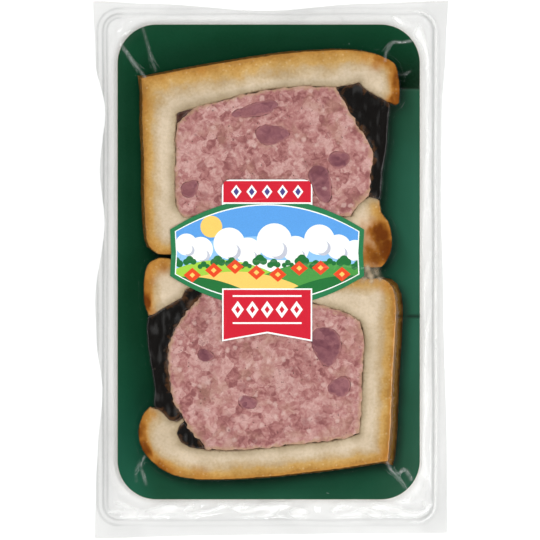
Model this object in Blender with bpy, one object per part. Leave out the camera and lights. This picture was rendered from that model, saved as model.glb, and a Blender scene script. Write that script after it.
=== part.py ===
"""Pate en croute in a clear vacuum pouch: two slices on a rounded card, label side up.

The pack lies flat on a table. +X is the pack's right, +Y its top and +Z up.
The origin is the middle of the pouch's footprint, on the table.
Every size and place below is in millimetres, and MM turns it into Blender's metres.
"""

import math

import bmesh
import bpy
from mathutils import Vector, noise
from mathutils.geometry import delaunay_2d_cdt

MM = 0.001

# Pouch: two films welded together round the card
POUCH_WIDTH = 150.0
POUCH_LENGTH = 227.0
BACK_FILM = 0.4
WELD_THICKNESS = 0.7
WELD_RIPPLE = 0.15
SHOULDER_WIDTH = 5.0
# How far each edge of the pouch is drawn in, as (place along the edge, distance in)
LEFT_SCALLOPS = (
    (-113.5, 0.7), (-90.0, 1.2), (-76.0, 2.0), (-52.0, 4.0), (-28.0, 1.4), (-13.0, 0.9),
    (20.0, 4.9), (42.0, 2.8), (67.0, 5.2), (88.0, 1.0), (113.5, 0.0),
)
RIGHT_SCALLOPS = ((-113.5, 0.4), (-80.0, 0.5), (-13.0, 2.0), (29.0, 3.0), (65.0, 2.7), (95.0, 0.9), (113.5, 0.0))
TOP_SCALLOPS = ((-75.0, 0.0), (-52.0, 1.2), (-1.5, 4.2), (40.0, 1.2), (75.0, 0.0))
BOTTOM_SCALLOPS = ((-75.0, 0.0), (-20.0, 1.3), (40.0, 2.0), (75.0, 2.2))

# Card: a green rounded board under the slices
CARD_WIDTH = 127.8
CARD_LENGTH = 200.7
CARD_CENTRE = (-0.8, 3.2)
CARD_CORNER = 16.5
CARD_THICKNESS = 1.5
CARD_BOTTOM = 0.7
CARD_TOP = CARD_BOTTOM + CARD_THICKNESS

# Gap kept between pieces that touch, shared by the two of them
GAP = 0.3
HALF_GAP = GAP / 2

# Slices
SLICE_BOTTOM = CARD_TOP + GAP
SLICE_THICKNESS = 11.5
SLICE_TOP = SLICE_BOTTOM + SLICE_THICKNESS
MEAT_TOP = SLICE_TOP - 0.2
HAM_TOP = SLICE_TOP - 0.15
JELLY_TOP = SLICE_TOP - 0.5
CUT_EDGE = 0.3
BAKED_EDGE = 0.6

# Label, which lies over both slices: a barrel shape with a crest above it and a ribbon below
LABEL_CENTRE = (-1.45, 7.05)
LABEL_WIDTH = 81.7
LABEL_SIDE = 19.5
LABEL_BULGE = 13.1
LABEL_WAIST = 0.5
LABEL_THICKNESS = 0.3
LABEL_BOTTOM = SLICE_TOP + GAP
CREST_WIDTH = 38.1
CREST_HEIGHT = 30.8
CREST_CORNER = 3.5
RIBBON_WIDTH = 37.9
RIBBON_DROP = 37.3
RIBBON_NOTCH = 3.4

OUTLINE_STEP = 3.0
MEAT_STEP = 2.4
RELIEF_STEP = 4.0

COLOURS = {
    "clear_film": ((0.85, 0.87, 0.87), 0.12),
    "green_card": ((0.015, 0.075, 0.040), 0.35),
    "baked_pastry": ((0.62, 0.44, 0.23), 0.70),
    "forcemeat": ((0.47, 0.22, 0.20), 0.45),
    "ham": ((0.25, 0.085, 0.10), 0.40),
    "jelly": ((0.016, 0.012, 0.009), 0.15),
    "printed_label": ((0.10, 0.36, 0.18), 0.30),
}


class SliceShape:
    """The lines that a slice's cut face is divided by, each a list of smooth runs of points.

    crust_outer goes round the pastry from the end of its lid to the tip of its flap.
    The inner lines come back along the pastry's inside, from the flap to the lid.
    """

    def __init__(self, crust_outer, flap_face, along_meat, pocket_wall, past_pocket, lid_face, open_side,
                 pocket_on_meat, meat_on_jelly, flare, ham):
        self.crust_outer = crust_outer
        self.flap_face = flap_face
        self.along_meat = along_meat
        self.pocket_wall = pocket_wall
        self.past_pocket = past_pocket
        self.lid_face = lid_face
        self.open_side = open_side
        self.pocket_on_meat = pocket_on_meat
        self.meat_on_jelly = meat_on_jelly
        self.flare = Vector(flare)
        self.ham = ham


UPPER = SliceShape(
    crust_outer=[
        [(50.4, 70.0), (52.3, 68.9), (54.2, 69.8), (54.6, 74.0), (54.2, 80.5), (52.6, 86.7), (50.0, 88.6),
         (45.8, 90.4), (39.9, 91.9), (31.0, 92.6), (20.0, 92.2), (4.4, 91.0), (-14.6, 88.1), (-33.4, 84.9),
         (-54.7, 80.7)],
        [(-54.7, 80.7), (-54.2, 73.0), (-54.2, 61.0), (-53.6, 48.0), (-53.4, 28.9), (-52.7, 17.0), (-51.6, 9.8),
         (-47.6, 6.2)],
        [(-47.6, 6.2), (-25.0, 4.9), (0.0, 3.2), (25.0, 1.6), (39.9, 0.7), (46.8, 0.8), (49.6, 4.4),
         (51.3, 9.5), (51.0, 16.0), (49.6, 20.6), (46.9, 24.0), (46.3, 29.2)],
    ],
    flap_face=[[(46.3, 29.2), (44.1, 30.0), (41.5, 30.6)]],
    along_meat=[
        [(41.5, 30.6), (36.8, 27.7), (35.2, 25.3), (34.0, 22.6)],
        [(34.0, 22.6), (20.9, 21.3), (0.0, 20.8), (-25.6, 21.6), (-36.6, 22.6)],
        [(-36.6, 22.6), (-39.6, 27.0), (-40.2, 33.7), (-40.0, 48.0), (-40.0, 57.3), (-39.7, 60.6)],
    ],
    pocket_wall=[[(-39.7, 60.6), (-39.5, 65.8)], [(-39.5, 65.8), (-36.0, 67.0), (-32.5, 68.0)]],
    past_pocket=[[(-32.5, 68.0), (-19.3, 71.4), (-8.9, 74.2), (2.5, 76.1), (13.7, 77.1), (27.0, 76.7)]],
    lid_face=[
        [(27.0, 76.7), (32.5, 77.5), (37.3, 78.9)],
        [(37.3, 78.9), (38.8, 76.9), (42.4, 74.2), (50.4, 70.0)],
    ],
    open_side=[[(50.4, 70.0), (49.6, 63.5), (49.2, 57.3), (48.2, 48.0), (46.8, 38.4), (46.3, 29.2)]],
    pocket_on_meat=[[(-39.7, 60.6), (-37.8, 63.4), (-35.4, 65.5), (-32.5, 68.0)]],
    meat_on_jelly=[
        [(27.0, 76.7), (29.6, 73.0), (32.2, 67.8), (36.4, 61.0), (41.0, 53.5), (43.0, 48.0), (42.3, 41.5),
         (41.8, 35.5), (41.5, 30.6)],
    ],
    flare=(-1.5, 0.9),
    ham=((-6.0, 67.4, 9.6, 2.9, 10), (0.3, 56.8, 6.6, 4.4, -12), (28.8, 46.2, 4.4, 3.6, 40),
         (21.2, 36.6, 7.6, 4.6, 112), (-34.0, 34.0, 4.0, 3.2, 70)),
)

LOWER = SliceShape(
    crust_outer=[
        [(-49.0, -58.2), (-50.9, -57.3), (-53.4, -60.2), (-55.3, -64.6), (-55.9, -68.6), (-55.3, -73.0),
         (-52.6, -78.3), (-47.6, -83.2), (-40.6, -86.9), (-33.4, -88.3), (-23.9, -88.6), (-5.1, -87.7),
         (13.7, -85.8), (32.7, -83.4), (49.4, -80.6)],
        [(49.4, -80.6), (50.5, -67.0), (51.2, -48.0), (52.3, -29.0), (52.7, -14.5), (51.3, -7.4), (47.6, -3.7),
         (42.4, -3.6)],
        [(42.4, -3.6), (25.1, -2.2), (10.0, -0.4), (-8.0, 1.6), (-30.0, 3.9), (-47.0, 5.3)],
        [(-47.0, 5.3), (-50.8, 3.6), (-52.9, -0.4), (-53.7, -9.0), (-53.3, -14.6), (-51.4, -19.7)],
    ],
    flap_face=[[(-51.4, -19.7), (-48.8, -18.4), (-45.4, -16.5), (-40.8, -13.7), (-37.4, -11.9), (-35.8, -8.6),
                (-31.4, -7.0), (-27.0, -7.0)]],
    along_meat=[
        [(-27.0, -7.0), (-14.0, -7.4), (0.0, -9.8), (12.0, -12.4), (23.2, -15.8), (31.5, -18.4), (37.6, -21.9)],
        [(37.6, -21.9), (39.2, -27.0), (39.3, -35.0), (38.5, -47.4), (37.9, -61.5), (37.2, -69.0)],
        [(37.2, -69.0), (31.0, -70.9), (13.7, -73.3), (0.6, -74.7), (-14.6, -76.0), (-27.4, -75.8)],
    ],
    pocket_wall=[[(-27.4, -75.8), (-34.0, -74.7), (-37.8, -72.6), (-39.6, -68.8), (-38.3, -65.8), (-36.2, -64.0)]],
    past_pocket=[[(-36.2, -64.0), (-36.9, -62.4)]],
    lid_face=[[(-36.9, -62.4), (-39.2, -64.1), (-42.8, -63.5), (-45.0, -60.8), (-49.0, -58.2)]],
    open_side=[[(-49.0, -58.2), (-48.5, -50.0), (-49.8, -42.6), (-51.3, -33.2), (-51.9, -26.0), (-51.4, -19.7)]],
    pocket_on_meat=[[(-27.4, -75.8), (-30.0, -71.6), (-33.4, -68.2), (-36.2, -64.0)]],
    meat_on_jelly=[
        [(-36.9, -62.4), (-39.9, -56.4), (-41.9, -49.2), (-43.2, -40.0), (-42.8, -32.6), (-40.0, -24.7),
         (-35.3, -18.1), (-30.6, -13.3), (-27.0, -7.0)],
    ],
    flare=(3.4, -0.5),
    ham=((23.4, -32.0, 9.2, 5.4, 108), (29.0, -49.4, 5.0, 3.8, 50), (-9.8, -55.9, 3.9, 2.9, 0),
         (-27.4, -36.2, 3.6, 2.3, -5)),
)


def smooth_run(points, step):
    """Points about step apart on a centripetal Catmull-Rom curve through the given points."""
    knots = [Vector(p) for p in points]
    knots.insert(0, 2 * knots[0] - knots[1])
    knots.append(2 * knots[-1] - knots[-2])
    curve = [knots[1]]
    for p0, p1, p2, p3 in zip(knots, knots[1:], knots[2:], knots[3:]):
        t0 = 0.0
        t1 = t0 + math.sqrt((p1 - p0).length)
        t2 = t1 + math.sqrt((p2 - p1).length)
        t3 = t2 + math.sqrt((p3 - p2).length)
        pieces = max(1, round((p2 - p1).length / step))
        for i in range(1, pieces + 1):
            t = t1 + (t2 - t1) * i / pieces
            a1 = p0.lerp(p1, (t - t0) / (t1 - t0))
            a2 = p1.lerp(p2, (t - t1) / (t2 - t1))
            a3 = p2.lerp(p3, (t - t2) / (t3 - t2))
            b1 = a1.lerp(a2, (t - t0) / (t2 - t0))
            b2 = a2.lerp(a3, (t - t1) / (t3 - t1))
            curve.append(b1.lerp(b2, (t - t1) / (t2 - t1)))
    return curve


def ragged(point, amount=0.35, grain=3.2):
    """The point moved a little, always the same way at the same place, so that shared lines still fit."""
    shift = noise.noise_vector(Vector((point.x, point.y, 0.0)) / grain)
    return point + Vector((shift.x, shift.y)) * amount


def line(runs, step, rough):
    """One line through several smooth runs that meet at corners, ragged where rough is set."""
    points = []
    for run in runs:
        points += smooth_run(run, step)[1 if points else 0:]
    return [ragged(p) for p in points] if rough else points


def loop(*lines):
    """A closed loop, anticlockwise, of lines that follow each other."""
    points = []
    for part in lines:
        points += part[:-1]
    doubled = sum(a.x * b.y - b.x * a.y for a, b in zip(points, points[1:] + points[:1]))
    return points if doubled > 0 else points[::-1]


def outward(points):
    """For each point of an anticlockwise loop, the step outwards that moves both its sides by one."""
    steps = []
    for before, here, after in zip(points[-1:] + points[:-1], points, points[1:] + points[:1]):
        first = (here - before).normalized()
        second = (after - here).normalized()
        normal = Vector((first.y + second.y, -first.x - second.x)).normalized()
        reach = max(0.5, normal.dot(Vector((first.y, -first.x))))
        steps.append(normal / reach)
    return steps


def grown(points, amount):
    """The loop moved outwards by amount, or inwards where it is negative."""
    return [p + step * amount for p, step in zip(points, outward(points))]


def rounded_rectangle(width, length, radius, centre, step):
    """An anticlockwise rectangle with round corners, its straight sides cut into steps."""
    points = []
    corners = ((1, -1, -90), (1, 1, 0), (-1, 1, 90), (-1, -1, 180))
    arc_steps = max(3, round(radius * math.pi / 2 / step))
    for side_x, side_y, start in corners:
        middle = Vector((side_x * (width / 2 - radius), side_y * (length / 2 - radius)))
        for i in range(arc_steps + 1):
            angle = math.radians(start + 90 * i / arc_steps)
            points.append(Vector(centre) + middle + Vector((math.cos(angle), math.sin(angle))) * radius)
    filled = []
    for here, after in zip(points, points[1:] + points[:1]):
        pieces = max(1, round((after - here).length / (2 * step)))
        filled += [here.lerp(after, i / pieces) for i in range(pieces)]
    return filled


def blob(centre, half_length, half_width, tilt, sides=18):
    """An uneven oval, whose shape depends on where it is."""
    turn = math.radians(tilt)
    points = []
    for i in range(sides):
        angle = 2 * math.pi * i / sides
        swell = 1 + 0.12 * math.sin(2 * angle + centre[0]) + 0.09 * math.sin(3 * angle + centre[1])
        along = half_length * math.cos(angle) * swell
        across = half_width * math.sin(angle) * swell
        points.append(Vector(centre) + Vector((along * math.cos(turn) - across * math.sin(turn),
                                               along * math.sin(turn) + across * math.cos(turn))))
    return points


def inside(point, loops):
    """Whether the point is inside an odd number of the loops."""
    odd = False
    for points in loops:
        for a, b in zip(points, points[1:] + points[:1]):
            if (a.y > point.y) != (b.y > point.y):
                if point.x < a.x + (point.y - a.y) * (b.x - a.x) / (b.y - a.y):
                    odd = not odd
    return odd


def distance_to(point, loops):
    """The distance from the point to the nearest side of the loops."""
    best = math.inf
    for points in loops:
        for a, b in zip(points, points[1:] + points[:1]):
            side = b - a
            share = max(0.0, min(1.0, (point - a).dot(side) / side.length_squared))
            best = min(best, (point - a - side * share).length)
    return best


def scattered(loops, spacing, clearance=0.6):
    """Points on a loose triangular grid inside the loops, clear of their sides."""
    xs = [p.x for p in loops[0]]
    ys = [p.y for p in loops[0]]
    found = []
    rows = int((max(ys) - min(ys)) / (spacing * 0.87)) + 1
    columns = int((max(xs) - min(xs)) / spacing) + 1
    for row in range(rows):
        for column in range(columns):
            place = Vector((min(xs) + (column + 0.5 * (row % 2)) * spacing, min(ys) + row * spacing * 0.87))
            place = ragged(place, amount=0.3 * spacing, grain=1.7 * spacing)
            if inside(place, loops) and distance_to(place, loops) > clearance * spacing:
                found.append(place)
    return found


def triangles(loops, inner, keep):
    """Triangles, as numbers of points, over the loops' points and then the inner ones, where keep holds."""
    points = [p for points in loops for p in points] + list(inner)
    edges = []
    first = 0
    for each in loops:
        edges += [(first + i, first + (i + 1) % len(each)) for i in range(len(each))]
        first += len(each)
    made, _, faces, origins, _, _ = delaunay_2d_cdt(points, edges, [], 0, 1e-7)
    if len(made) != len(points):
        raise ValueError("an outline crosses itself")
    number = [origin[0] for origin in origins]
    kept = []
    for face in faces:
        middle = (made[face[0]] + made[face[1]] + made[face[2]]) / 3
        if keep(middle):
            kept.append([number[i] for i in face])
    return kept


def material(name):
    """The named finish as a Principled material."""
    colour, roughness = COLOURS[name]
    made = bpy.data.materials.get(name)
    if made is None:
        made = bpy.data.materials.new(name)
        made.use_nodes = True
        shader = made.node_tree.nodes["Principled BSDF"]
        shader.inputs["Base Color"].default_value = (*colour, 1.0)
        shader.inputs["Roughness"].default_value = roughness
        shader.inputs["Metallic"].default_value = 0.0
        made.diffuse_color = (*colour, 1.0)
    return made


def add_solid(name, points, faces, finish):
    """Makes the object for one node from points in millimetres, shaded smooth but for its sharp edges."""
    mesh = bpy.data.meshes.new(name)
    mesh.from_pydata([[c * MM for c in p] for p in points], [], faces)
    shape = bmesh.new()
    shape.from_mesh(mesh)
    bmesh.ops.recalc_face_normals(shape, faces=shape.faces)
    shape.to_mesh(mesh)
    shape.free()
    mesh.shade_smooth()
    mesh.set_sharp_from_angle(angle=math.radians(35))
    mesh.materials.append(material(finish))
    made = bpy.data.objects.new(name, mesh)
    bpy.context.scene.collection.objects.link(made)
    return made


def wall(faces, upper, lower, count):
    """Joins two loops of count points, numbered from upper and from lower, by a band of faces."""
    for i in range(count):
        after = (i + 1) % count
        faces.append([upper + i, lower + i, lower + after, upper + after])


def slab(name, finish, rings, relief=None, inner=(), holes=(), pocket=None):
    """A solid with an uneven top, flat bottom and shaped sides.

    rings are (loop, height) from the top edge down, each loop with the same number of points.
    inner is the points inside the top where relief gives its height. holes are loops that go
    right through. pocket is (loop, rim height, floor height) of a recess in the top.
    """
    top_loop, top = rings[0]
    bottom_loop, bottom = rings[-1]
    openings = list(holes) + ([pocket[0]] if pocket else [])
    count = len(top_loop)
    points = [(p.x, p.y, top) for p in top_loop]
    points += [(p.x, p.y, top) for hole in holes for p in hole]
    points += [(p.x, p.y, pocket[1]) for p in (pocket[0] if pocket else [])]
    points += [(p.x, p.y, relief(p)) for p in inner]
    faces = triangles([top_loop, *openings], inner, lambda m: inside(m, [top_loop, *openings]))
    upper = 0
    for ring, level in rings[1:]:
        lower = len(points)
        points += [(p.x, p.y, level) for p in ring]
        wall(faces, upper, lower, count)
        upper = lower
    bottom_start = upper
    hole_starts = []
    opening_start = count
    for opening in openings:
        lower = len(points)
        level = bottom if opening in holes else pocket[2]
        points += [(p.x, p.y, level) for p in opening]
        wall(faces, opening_start, lower, len(opening))
        if opening in holes:
            hole_starts.append(lower)
        else:
            floor = triangles([opening], [], lambda m: inside(m, [opening]))
            faces += [[lower + i for i in face] for face in floor]
        opening_start += len(opening)
    numbers = list(range(bottom_start, bottom_start + count))
    for start, hole in zip(hole_starts, holes):
        numbers += range(start, start + len(hole))
    base = triangles([bottom_loop, *holes], [], lambda m: inside(m, [bottom_loop, *holes]))
    faces += [[numbers[i] for i in face] for face in base]
    return add_solid(name, points, faces, finish)


def bumps(point, size):
    """A smooth uneven height between about -1 and 1, with bumps of the given size."""
    return noise.noise(Vector((point.x / size, point.y / size, 0.5)))


def drawn_in(scallops, place):
    """How far an edge of the pouch is drawn in at a place along it, eased between the given places."""
    for (start, first), (end, second) in zip(scallops, scallops[1:]):
        if start <= place <= end:
            share = (place - start) / (end - start)
            return first + (second - first) * share * share * (3 - 2 * share)
    return 0.0


def pouch_outline():
    """The pouch's scalloped outer edge, anticlockwise from its lower left corner."""
    half_x, half_y = POUCH_WIDTH / 2, POUCH_LENGTH / 2
    across = round(POUCH_WIDTH / 5.0)
    along = round(POUCH_LENGTH / 4.0)
    points = []
    for i in range(across):
        x = -half_x + POUCH_WIDTH * i / across
        inset = drawn_in(LEFT_SCALLOPS, -half_y) * (1 - i / across)
        points.append(Vector((x + inset, -half_y + drawn_in(BOTTOM_SCALLOPS, x))))
    for i in range(along):
        y = -half_y + BOTTOM_SCALLOPS[-1][1] * (1 - i / along) + POUCH_LENGTH * i / along
        points.append(Vector((half_x - drawn_in(RIGHT_SCALLOPS, max(-half_y, min(half_y, y))), min(half_y, y))))
    for i in range(across):
        x = half_x - POUCH_WIDTH * i / across
        points.append(Vector((x, half_y - drawn_in(TOP_SCALLOPS, x))))
    for i in range(along):
        y = half_y - POUCH_LENGTH * i / along
        points.append(Vector((-half_x + drawn_in(LEFT_SCALLOPS, y), y)))
    return points


def card_distance(point):
    """How far the point is outside the card's edge."""
    x = abs(point.x - CARD_CENTRE[0]) - (CARD_WIDTH / 2 - CARD_CORNER)
    y = abs(point.y - CARD_CENTRE[1]) - (CARD_LENGTH / 2 - CARD_CORNER)
    return math.hypot(max(x, 0.0), max(y, 0.0)) + min(max(x, y), 0.0) - CARD_CORNER


def pouch_height(point):
    """The pouch's upper surface: a shoulder at the card's edge that falls to the flat weld."""
    share = max(0.0, min(1.0, card_distance(point) / SHOULDER_WIDTH))
    fall = (1 - share) ** 2 * (1 + 2 * share)
    crumple = 1 + 0.45 * bumps(point, 6.0) * share
    return WELD_THICKNESS + (CARD_TOP - WELD_THICKNESS) * fall * crumple + WELD_RIPPLE * bumps(point, 9.0) * share


def build_pouch():
    """The pouch: back film, welded margin, and the shoulder that rises to the card's edge."""
    edge = pouch_outline()
    recess = rounded_rectangle(CARD_WIDTH + 2 * GAP, CARD_LENGTH + 2 * GAP, CARD_CORNER + GAP, CARD_CENTRE, 4.0)
    inner = []
    for out in (1.8, 3.4, SHOULDER_WIDTH):
        inner += rounded_rectangle(CARD_WIDTH + 2 * out, CARD_LENGTH + 2 * out, CARD_CORNER + out, CARD_CENTRE, 4.0)
    inner = [p for p in inner if inside(p, [edge]) and distance_to(p, [edge]) > 1.2]
    inner += [p for p in scattered([edge, recess], 5.0, 0.3) if card_distance(p) > SHOULDER_WIDTH + 1.5]
    rings = [(edge, WELD_THICKNESS), (edge, 0.0)]
    return slab("pouch", "clear_film", rings, relief=pouch_height, inner=inner,
                pocket=(recess, CARD_TOP, BACK_FILM))


def build_card():
    """The green card, with slightly rounded edges."""
    edge = rounded_rectangle(CARD_WIDTH, CARD_LENGTH, CARD_CORNER, CARD_CENTRE, 3.0)
    soft = 0.25
    rings = [(grown(edge, -soft), CARD_TOP), (edge, CARD_TOP - soft), (edge, CARD_BOTTOM + soft),
             (grown(edge, -soft), CARD_BOTTOM)]
    return slab("card", "green_card", rings)


def build_crust(name, shape):
    """The pastry of one slice: a C of lid, walls and base, flared where its baked side shows."""
    outer = line(shape.crust_outer, OUTLINE_STEP, False)
    parts = (shape.flap_face, shape.along_meat, shape.pocket_wall, shape.past_pocket, shape.lid_face)
    edge = loop(outer, *(line(part, OUTLINE_STEP, True) for part in parts))
    edge = grown(edge, -HALF_GAP)
    steps = outward(edge)
    direction = shape.flare.normalized()

    def side(drop):
        """The outline this share of the way down, where the baked side leans out and has flakes."""
        points = []
        for p, step in zip(edge, steps):
            baked = min((p - b).length for b in outer) < 2.5 * HALF_GAP
            from_cut = min((p - outer[0]).length, (p - outer[-1]).length)
            share = min(1.0, from_cut / 8.0) ** 2 if baked else 0.0
            lean = max(0.0, step.normalized().dot(direction)) * shape.flare.length
            flakes = 0.25 * bumps(p, 5.0) * (1 - abs(2 * drop - 1))
            points.append(p + step * share * (lean * drop + flakes))
        return points

    def height(point):
        """The cut face, nearly flat, with the pastry's crumb as low relief."""
        return SLICE_TOP - 0.12 + 0.12 * bumps(point, 4.0)

    low = side(1.0)
    rings = [(grown(edge, -BAKED_EDGE), SLICE_TOP), (side(0.05), SLICE_TOP - BAKED_EDGE),
             (side(0.5), SLICE_TOP - SLICE_THICKNESS / 2), (low, SLICE_BOTTOM + BAKED_EDGE),
             (grown(low, -BAKED_EDGE), SLICE_BOTTOM)]
    inner = scattered([rings[0][0]], RELIEF_STEP)
    return slab(name, "baked_pastry", rings, relief=height, inner=inner)


def build_meat(name, shape):
    """The forcemeat of one slice, uneven on its cut face, with a hole for each large piece of ham."""
    parts = [line(part, OUTLINE_STEP, True) for part in
             (shape.along_meat, shape.pocket_on_meat, shape.past_pocket, shape.meat_on_jelly)]
    edge = grown(loop(*parts), -HALF_GAP)
    holes = [grown(blob((x, y), *size), HALF_GAP) for x, y, *size in shape.ham]

    def height(point):
        """The cut face, with the grain of the minced meat as relief."""
        return MEAT_TOP + 0.14 * bumps(point, 5.0) + 0.08 * bumps(point, 2.3)

    rings = [(grown(edge, -CUT_EDGE), MEAT_TOP), (edge, MEAT_TOP - CUT_EDGE), (edge, SLICE_BOTTOM)]
    inner = scattered([rings[0][0], *holes], MEAT_STEP * 1.4)
    return slab(name, "forcemeat", rings, relief=height, inner=inner, holes=holes)


def build_ham(name, x, y, size):
    """One large piece of ham, which runs through the slice."""
    edge = grown(blob((x, y), *size), -HALF_GAP)
    rings = [(grown(edge, -CUT_EDGE), HAM_TOP), (edge, HAM_TOP - CUT_EDGE), (edge, SLICE_BOTTOM)]
    return slab(name, "ham", rings)


def build_jelly(name, parts):
    """A piece of dark jelly that fills the space between pastry and forcemeat."""
    edge = grown(loop(*(line(part, OUTLINE_STEP, True) for part in parts)), -HALF_GAP)

    def height(point):
        """The cut face, dished away from the pastry and meat that hold it up."""
        return JELLY_TOP - 0.4 * min(1.0, distance_to(point, [edge]) / 3.0)

    rings = [(grown(edge, -CUT_EDGE), JELLY_TOP), (edge, JELLY_TOP - CUT_EDGE), (edge, SLICE_BOTTOM)]
    inner = scattered([rings[0][0]], RELIEF_STEP * 0.8)
    return slab(name, "jelly", rings, relief=height, inner=inner)


def backwards(runs):
    """The same line, from its other end."""
    return [run[::-1] for run in runs[::-1]]


def build_slice(name, shape):
    """One slice: its pastry, its forcemeat with ham, and its jelly."""
    build_crust(f"{name}_crust", shape)
    build_meat(f"{name}_forcemeat", shape)
    for number, (x, y, *size) in enumerate(shape.ham, start=1):
        build_ham(f"{name}_ham_{number}", x, y, size)
    build_jelly(f"{name}_jelly", (shape.meat_on_jelly, backwards(shape.flap_face), backwards(shape.open_side),
                                  backwards(shape.lid_face)))
    build_jelly(f"{name}_jelly_pocket", (shape.pocket_wall, backwards(shape.pocket_on_meat)))


def label_outline():
    """The label's edge, anticlockwise: a bulging side above with the crest, and one below with the ribbon."""
    half = LABEL_WIDTH / 2

    def bulge(start, stop, side):
        """Points along the bulge above (side 1) or below (side -1), between two places across the label."""
        steps = max(2, round(abs(stop - start) / OUTLINE_STEP))
        across = [start + (stop - start) * i / steps for i in range(steps + 1)]
        return [Vector((x, side * (LABEL_SIDE / 2 + LABEL_BULGE * (1 - (x / half) ** 2)))) for x in across]

    crest = []
    for side, start in ((1, 0), (-1, 90)):
        middle = Vector((side * (CREST_WIDTH / 2 - CREST_CORNER), CREST_HEIGHT - CREST_CORNER))
        for i in range(5):
            angle = math.radians(start + 22.5 * i)
            crest.append(middle + CREST_CORNER * Vector((math.cos(angle), math.sin(angle))))
    ribbon = [Vector((-RIBBON_WIDTH / 2, -RIBBON_DROP)), Vector((0.0, RIBBON_NOTCH - RIBBON_DROP)),
              Vector((RIBBON_WIDTH / 2, -RIBBON_DROP))]
    points = bulge(half, CREST_WIDTH / 2, 1) + crest + bulge(-CREST_WIDTH / 2, -half, 1)
    points += [Vector((LABEL_WAIST - half, 0.0))]
    points += bulge(-half, -RIBBON_WIDTH / 2, -1) + ribbon + bulge(RIBBON_WIDTH / 2, half, -1)
    points += [Vector((half - LABEL_WAIST, 0.0))]
    return [Vector(LABEL_CENTRE) + p for p in points]


def build_label():
    """The label, one thin sheet that lies flat over both slices."""
    edge = label_outline()
    return slab("label", "printed_label", [(edge, LABEL_BOTTOM + LABEL_THICKNESS), (edge, LABEL_BOTTOM)])


def main():
    """Clears the scene and builds the pack from the table up."""
    noise.seed_set(7)
    for old in list(bpy.data.objects):
        bpy.data.objects.remove(old)
    build_pouch()
    build_card()
    build_slice("upper", UPPER)
    build_slice("lower", LOWER)
    build_label()


main()
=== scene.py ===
"""The looks of a clear vacuum pouch that holds two slices of pate en croute on a green card.

Pastry, forcemeat, ham, jelly, card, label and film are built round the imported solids.
Sizes are in millimetres unless a name or a comment says otherwise, and MM turns them into metres.
"""

from __future__ import annotations

import logging
import math
from collections.abc import Callable, Iterator, Sequence
from dataclasses import dataclass, field
from enum import Enum
from functools import cached_property

import bmesh
import bpy
import numpy as np
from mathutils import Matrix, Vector, noise
from mathutils.bvhtree import BVHTree
from mathutils.geometry import delaunay_2d_cdt

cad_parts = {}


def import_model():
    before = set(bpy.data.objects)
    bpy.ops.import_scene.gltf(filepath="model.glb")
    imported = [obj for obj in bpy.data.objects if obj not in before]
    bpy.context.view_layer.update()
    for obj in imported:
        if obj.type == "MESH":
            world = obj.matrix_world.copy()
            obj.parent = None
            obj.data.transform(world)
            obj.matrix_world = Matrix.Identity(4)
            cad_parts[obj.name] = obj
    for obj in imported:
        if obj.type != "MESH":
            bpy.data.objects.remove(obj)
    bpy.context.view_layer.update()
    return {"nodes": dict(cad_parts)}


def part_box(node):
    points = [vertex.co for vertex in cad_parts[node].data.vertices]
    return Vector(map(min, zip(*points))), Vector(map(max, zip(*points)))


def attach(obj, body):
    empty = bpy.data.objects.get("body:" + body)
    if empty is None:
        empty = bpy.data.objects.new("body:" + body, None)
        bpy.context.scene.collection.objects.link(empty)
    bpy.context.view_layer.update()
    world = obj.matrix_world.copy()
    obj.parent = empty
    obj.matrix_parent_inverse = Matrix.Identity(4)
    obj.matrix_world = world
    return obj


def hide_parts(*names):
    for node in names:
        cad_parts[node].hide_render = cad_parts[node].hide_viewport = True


MM = 0.001
BODY = "root"
NOISE_SEED = 11
CARD_CORNER = 16.5
CARD_BEND = (-76.6, -75.8)

Colour = tuple[float, float, float]
Stop = tuple[float, Colour]

log = logging.getLogger("pack")


class Side(Enum):
    """The two slices, by their place on the card."""

    UPPER = "upper"
    LOWER = "lower"


class Slot(Enum):
    """Names for the kinds of finish."""

    FILM = "clear_film"
    CARD = "green_card"
    PASTRY = "baked_pastry"
    MEAT = "forcemeat"
    HAM = "ham"
    JELLY = "jelly"
    LABEL = "printed_label"


# Shader trees


@dataclass(frozen=True)
class Signal:
    """What a node sends on: a place, a colour, or a number that can be reckoned with like a plain one."""

    graph: Graph
    socket: bpy.types.NodeSocket

    def __add__(self, other: Value) -> Signal:
        """Returns the sum."""
        return self.graph.math("ADD", self, other)

    def __sub__(self, other: Value) -> Signal:
        """Returns the difference."""
        return self.graph.math("SUBTRACT", self, other)

    def __rsub__(self, other: Value) -> Signal:
        """Returns what is left of another number."""
        return self.graph.math("SUBTRACT", other, self)

    def __mul__(self, other: Value) -> Signal:
        """Returns the product."""
        return self.graph.math("MULTIPLY", self, other)

    def __abs__(self) -> Signal:
        """Returns the number without its sign."""
        return self.graph.math("ABSOLUTE", self)

    __radd__ = __add__
    __rmul__ = __mul__

    def clamped(self) -> Signal:
        """Keeps the number from 0 to 1."""
        self.socket.node.use_clamp = True
        return self

    def output(self, name: str) -> Signal:
        """Returns another output of the same node."""
        return Signal(self.graph, self.socket.node.outputs[name])

    def between(self, start: float, end: float) -> Signal:
        """Returns start where the number is 0, end where it is 1, and an even change between."""
        return self.graph.node("MapRange", {"Value": self, "To Min": start, "To Max": end})

    def eased(self, low: Value, high: Value, start: float = 0.0, end: float = 1.0) -> Signal:
        """Returns start up to low, end from high on, and an eased change between."""
        inputs = {"Value": self, "From Min": low, "From Max": high, "To Min": start, "To Max": end}
        return self.graph.node("MapRange", inputs, interpolation_type="SMOOTHSTEP")


Value = float | Colour | Signal


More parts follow.
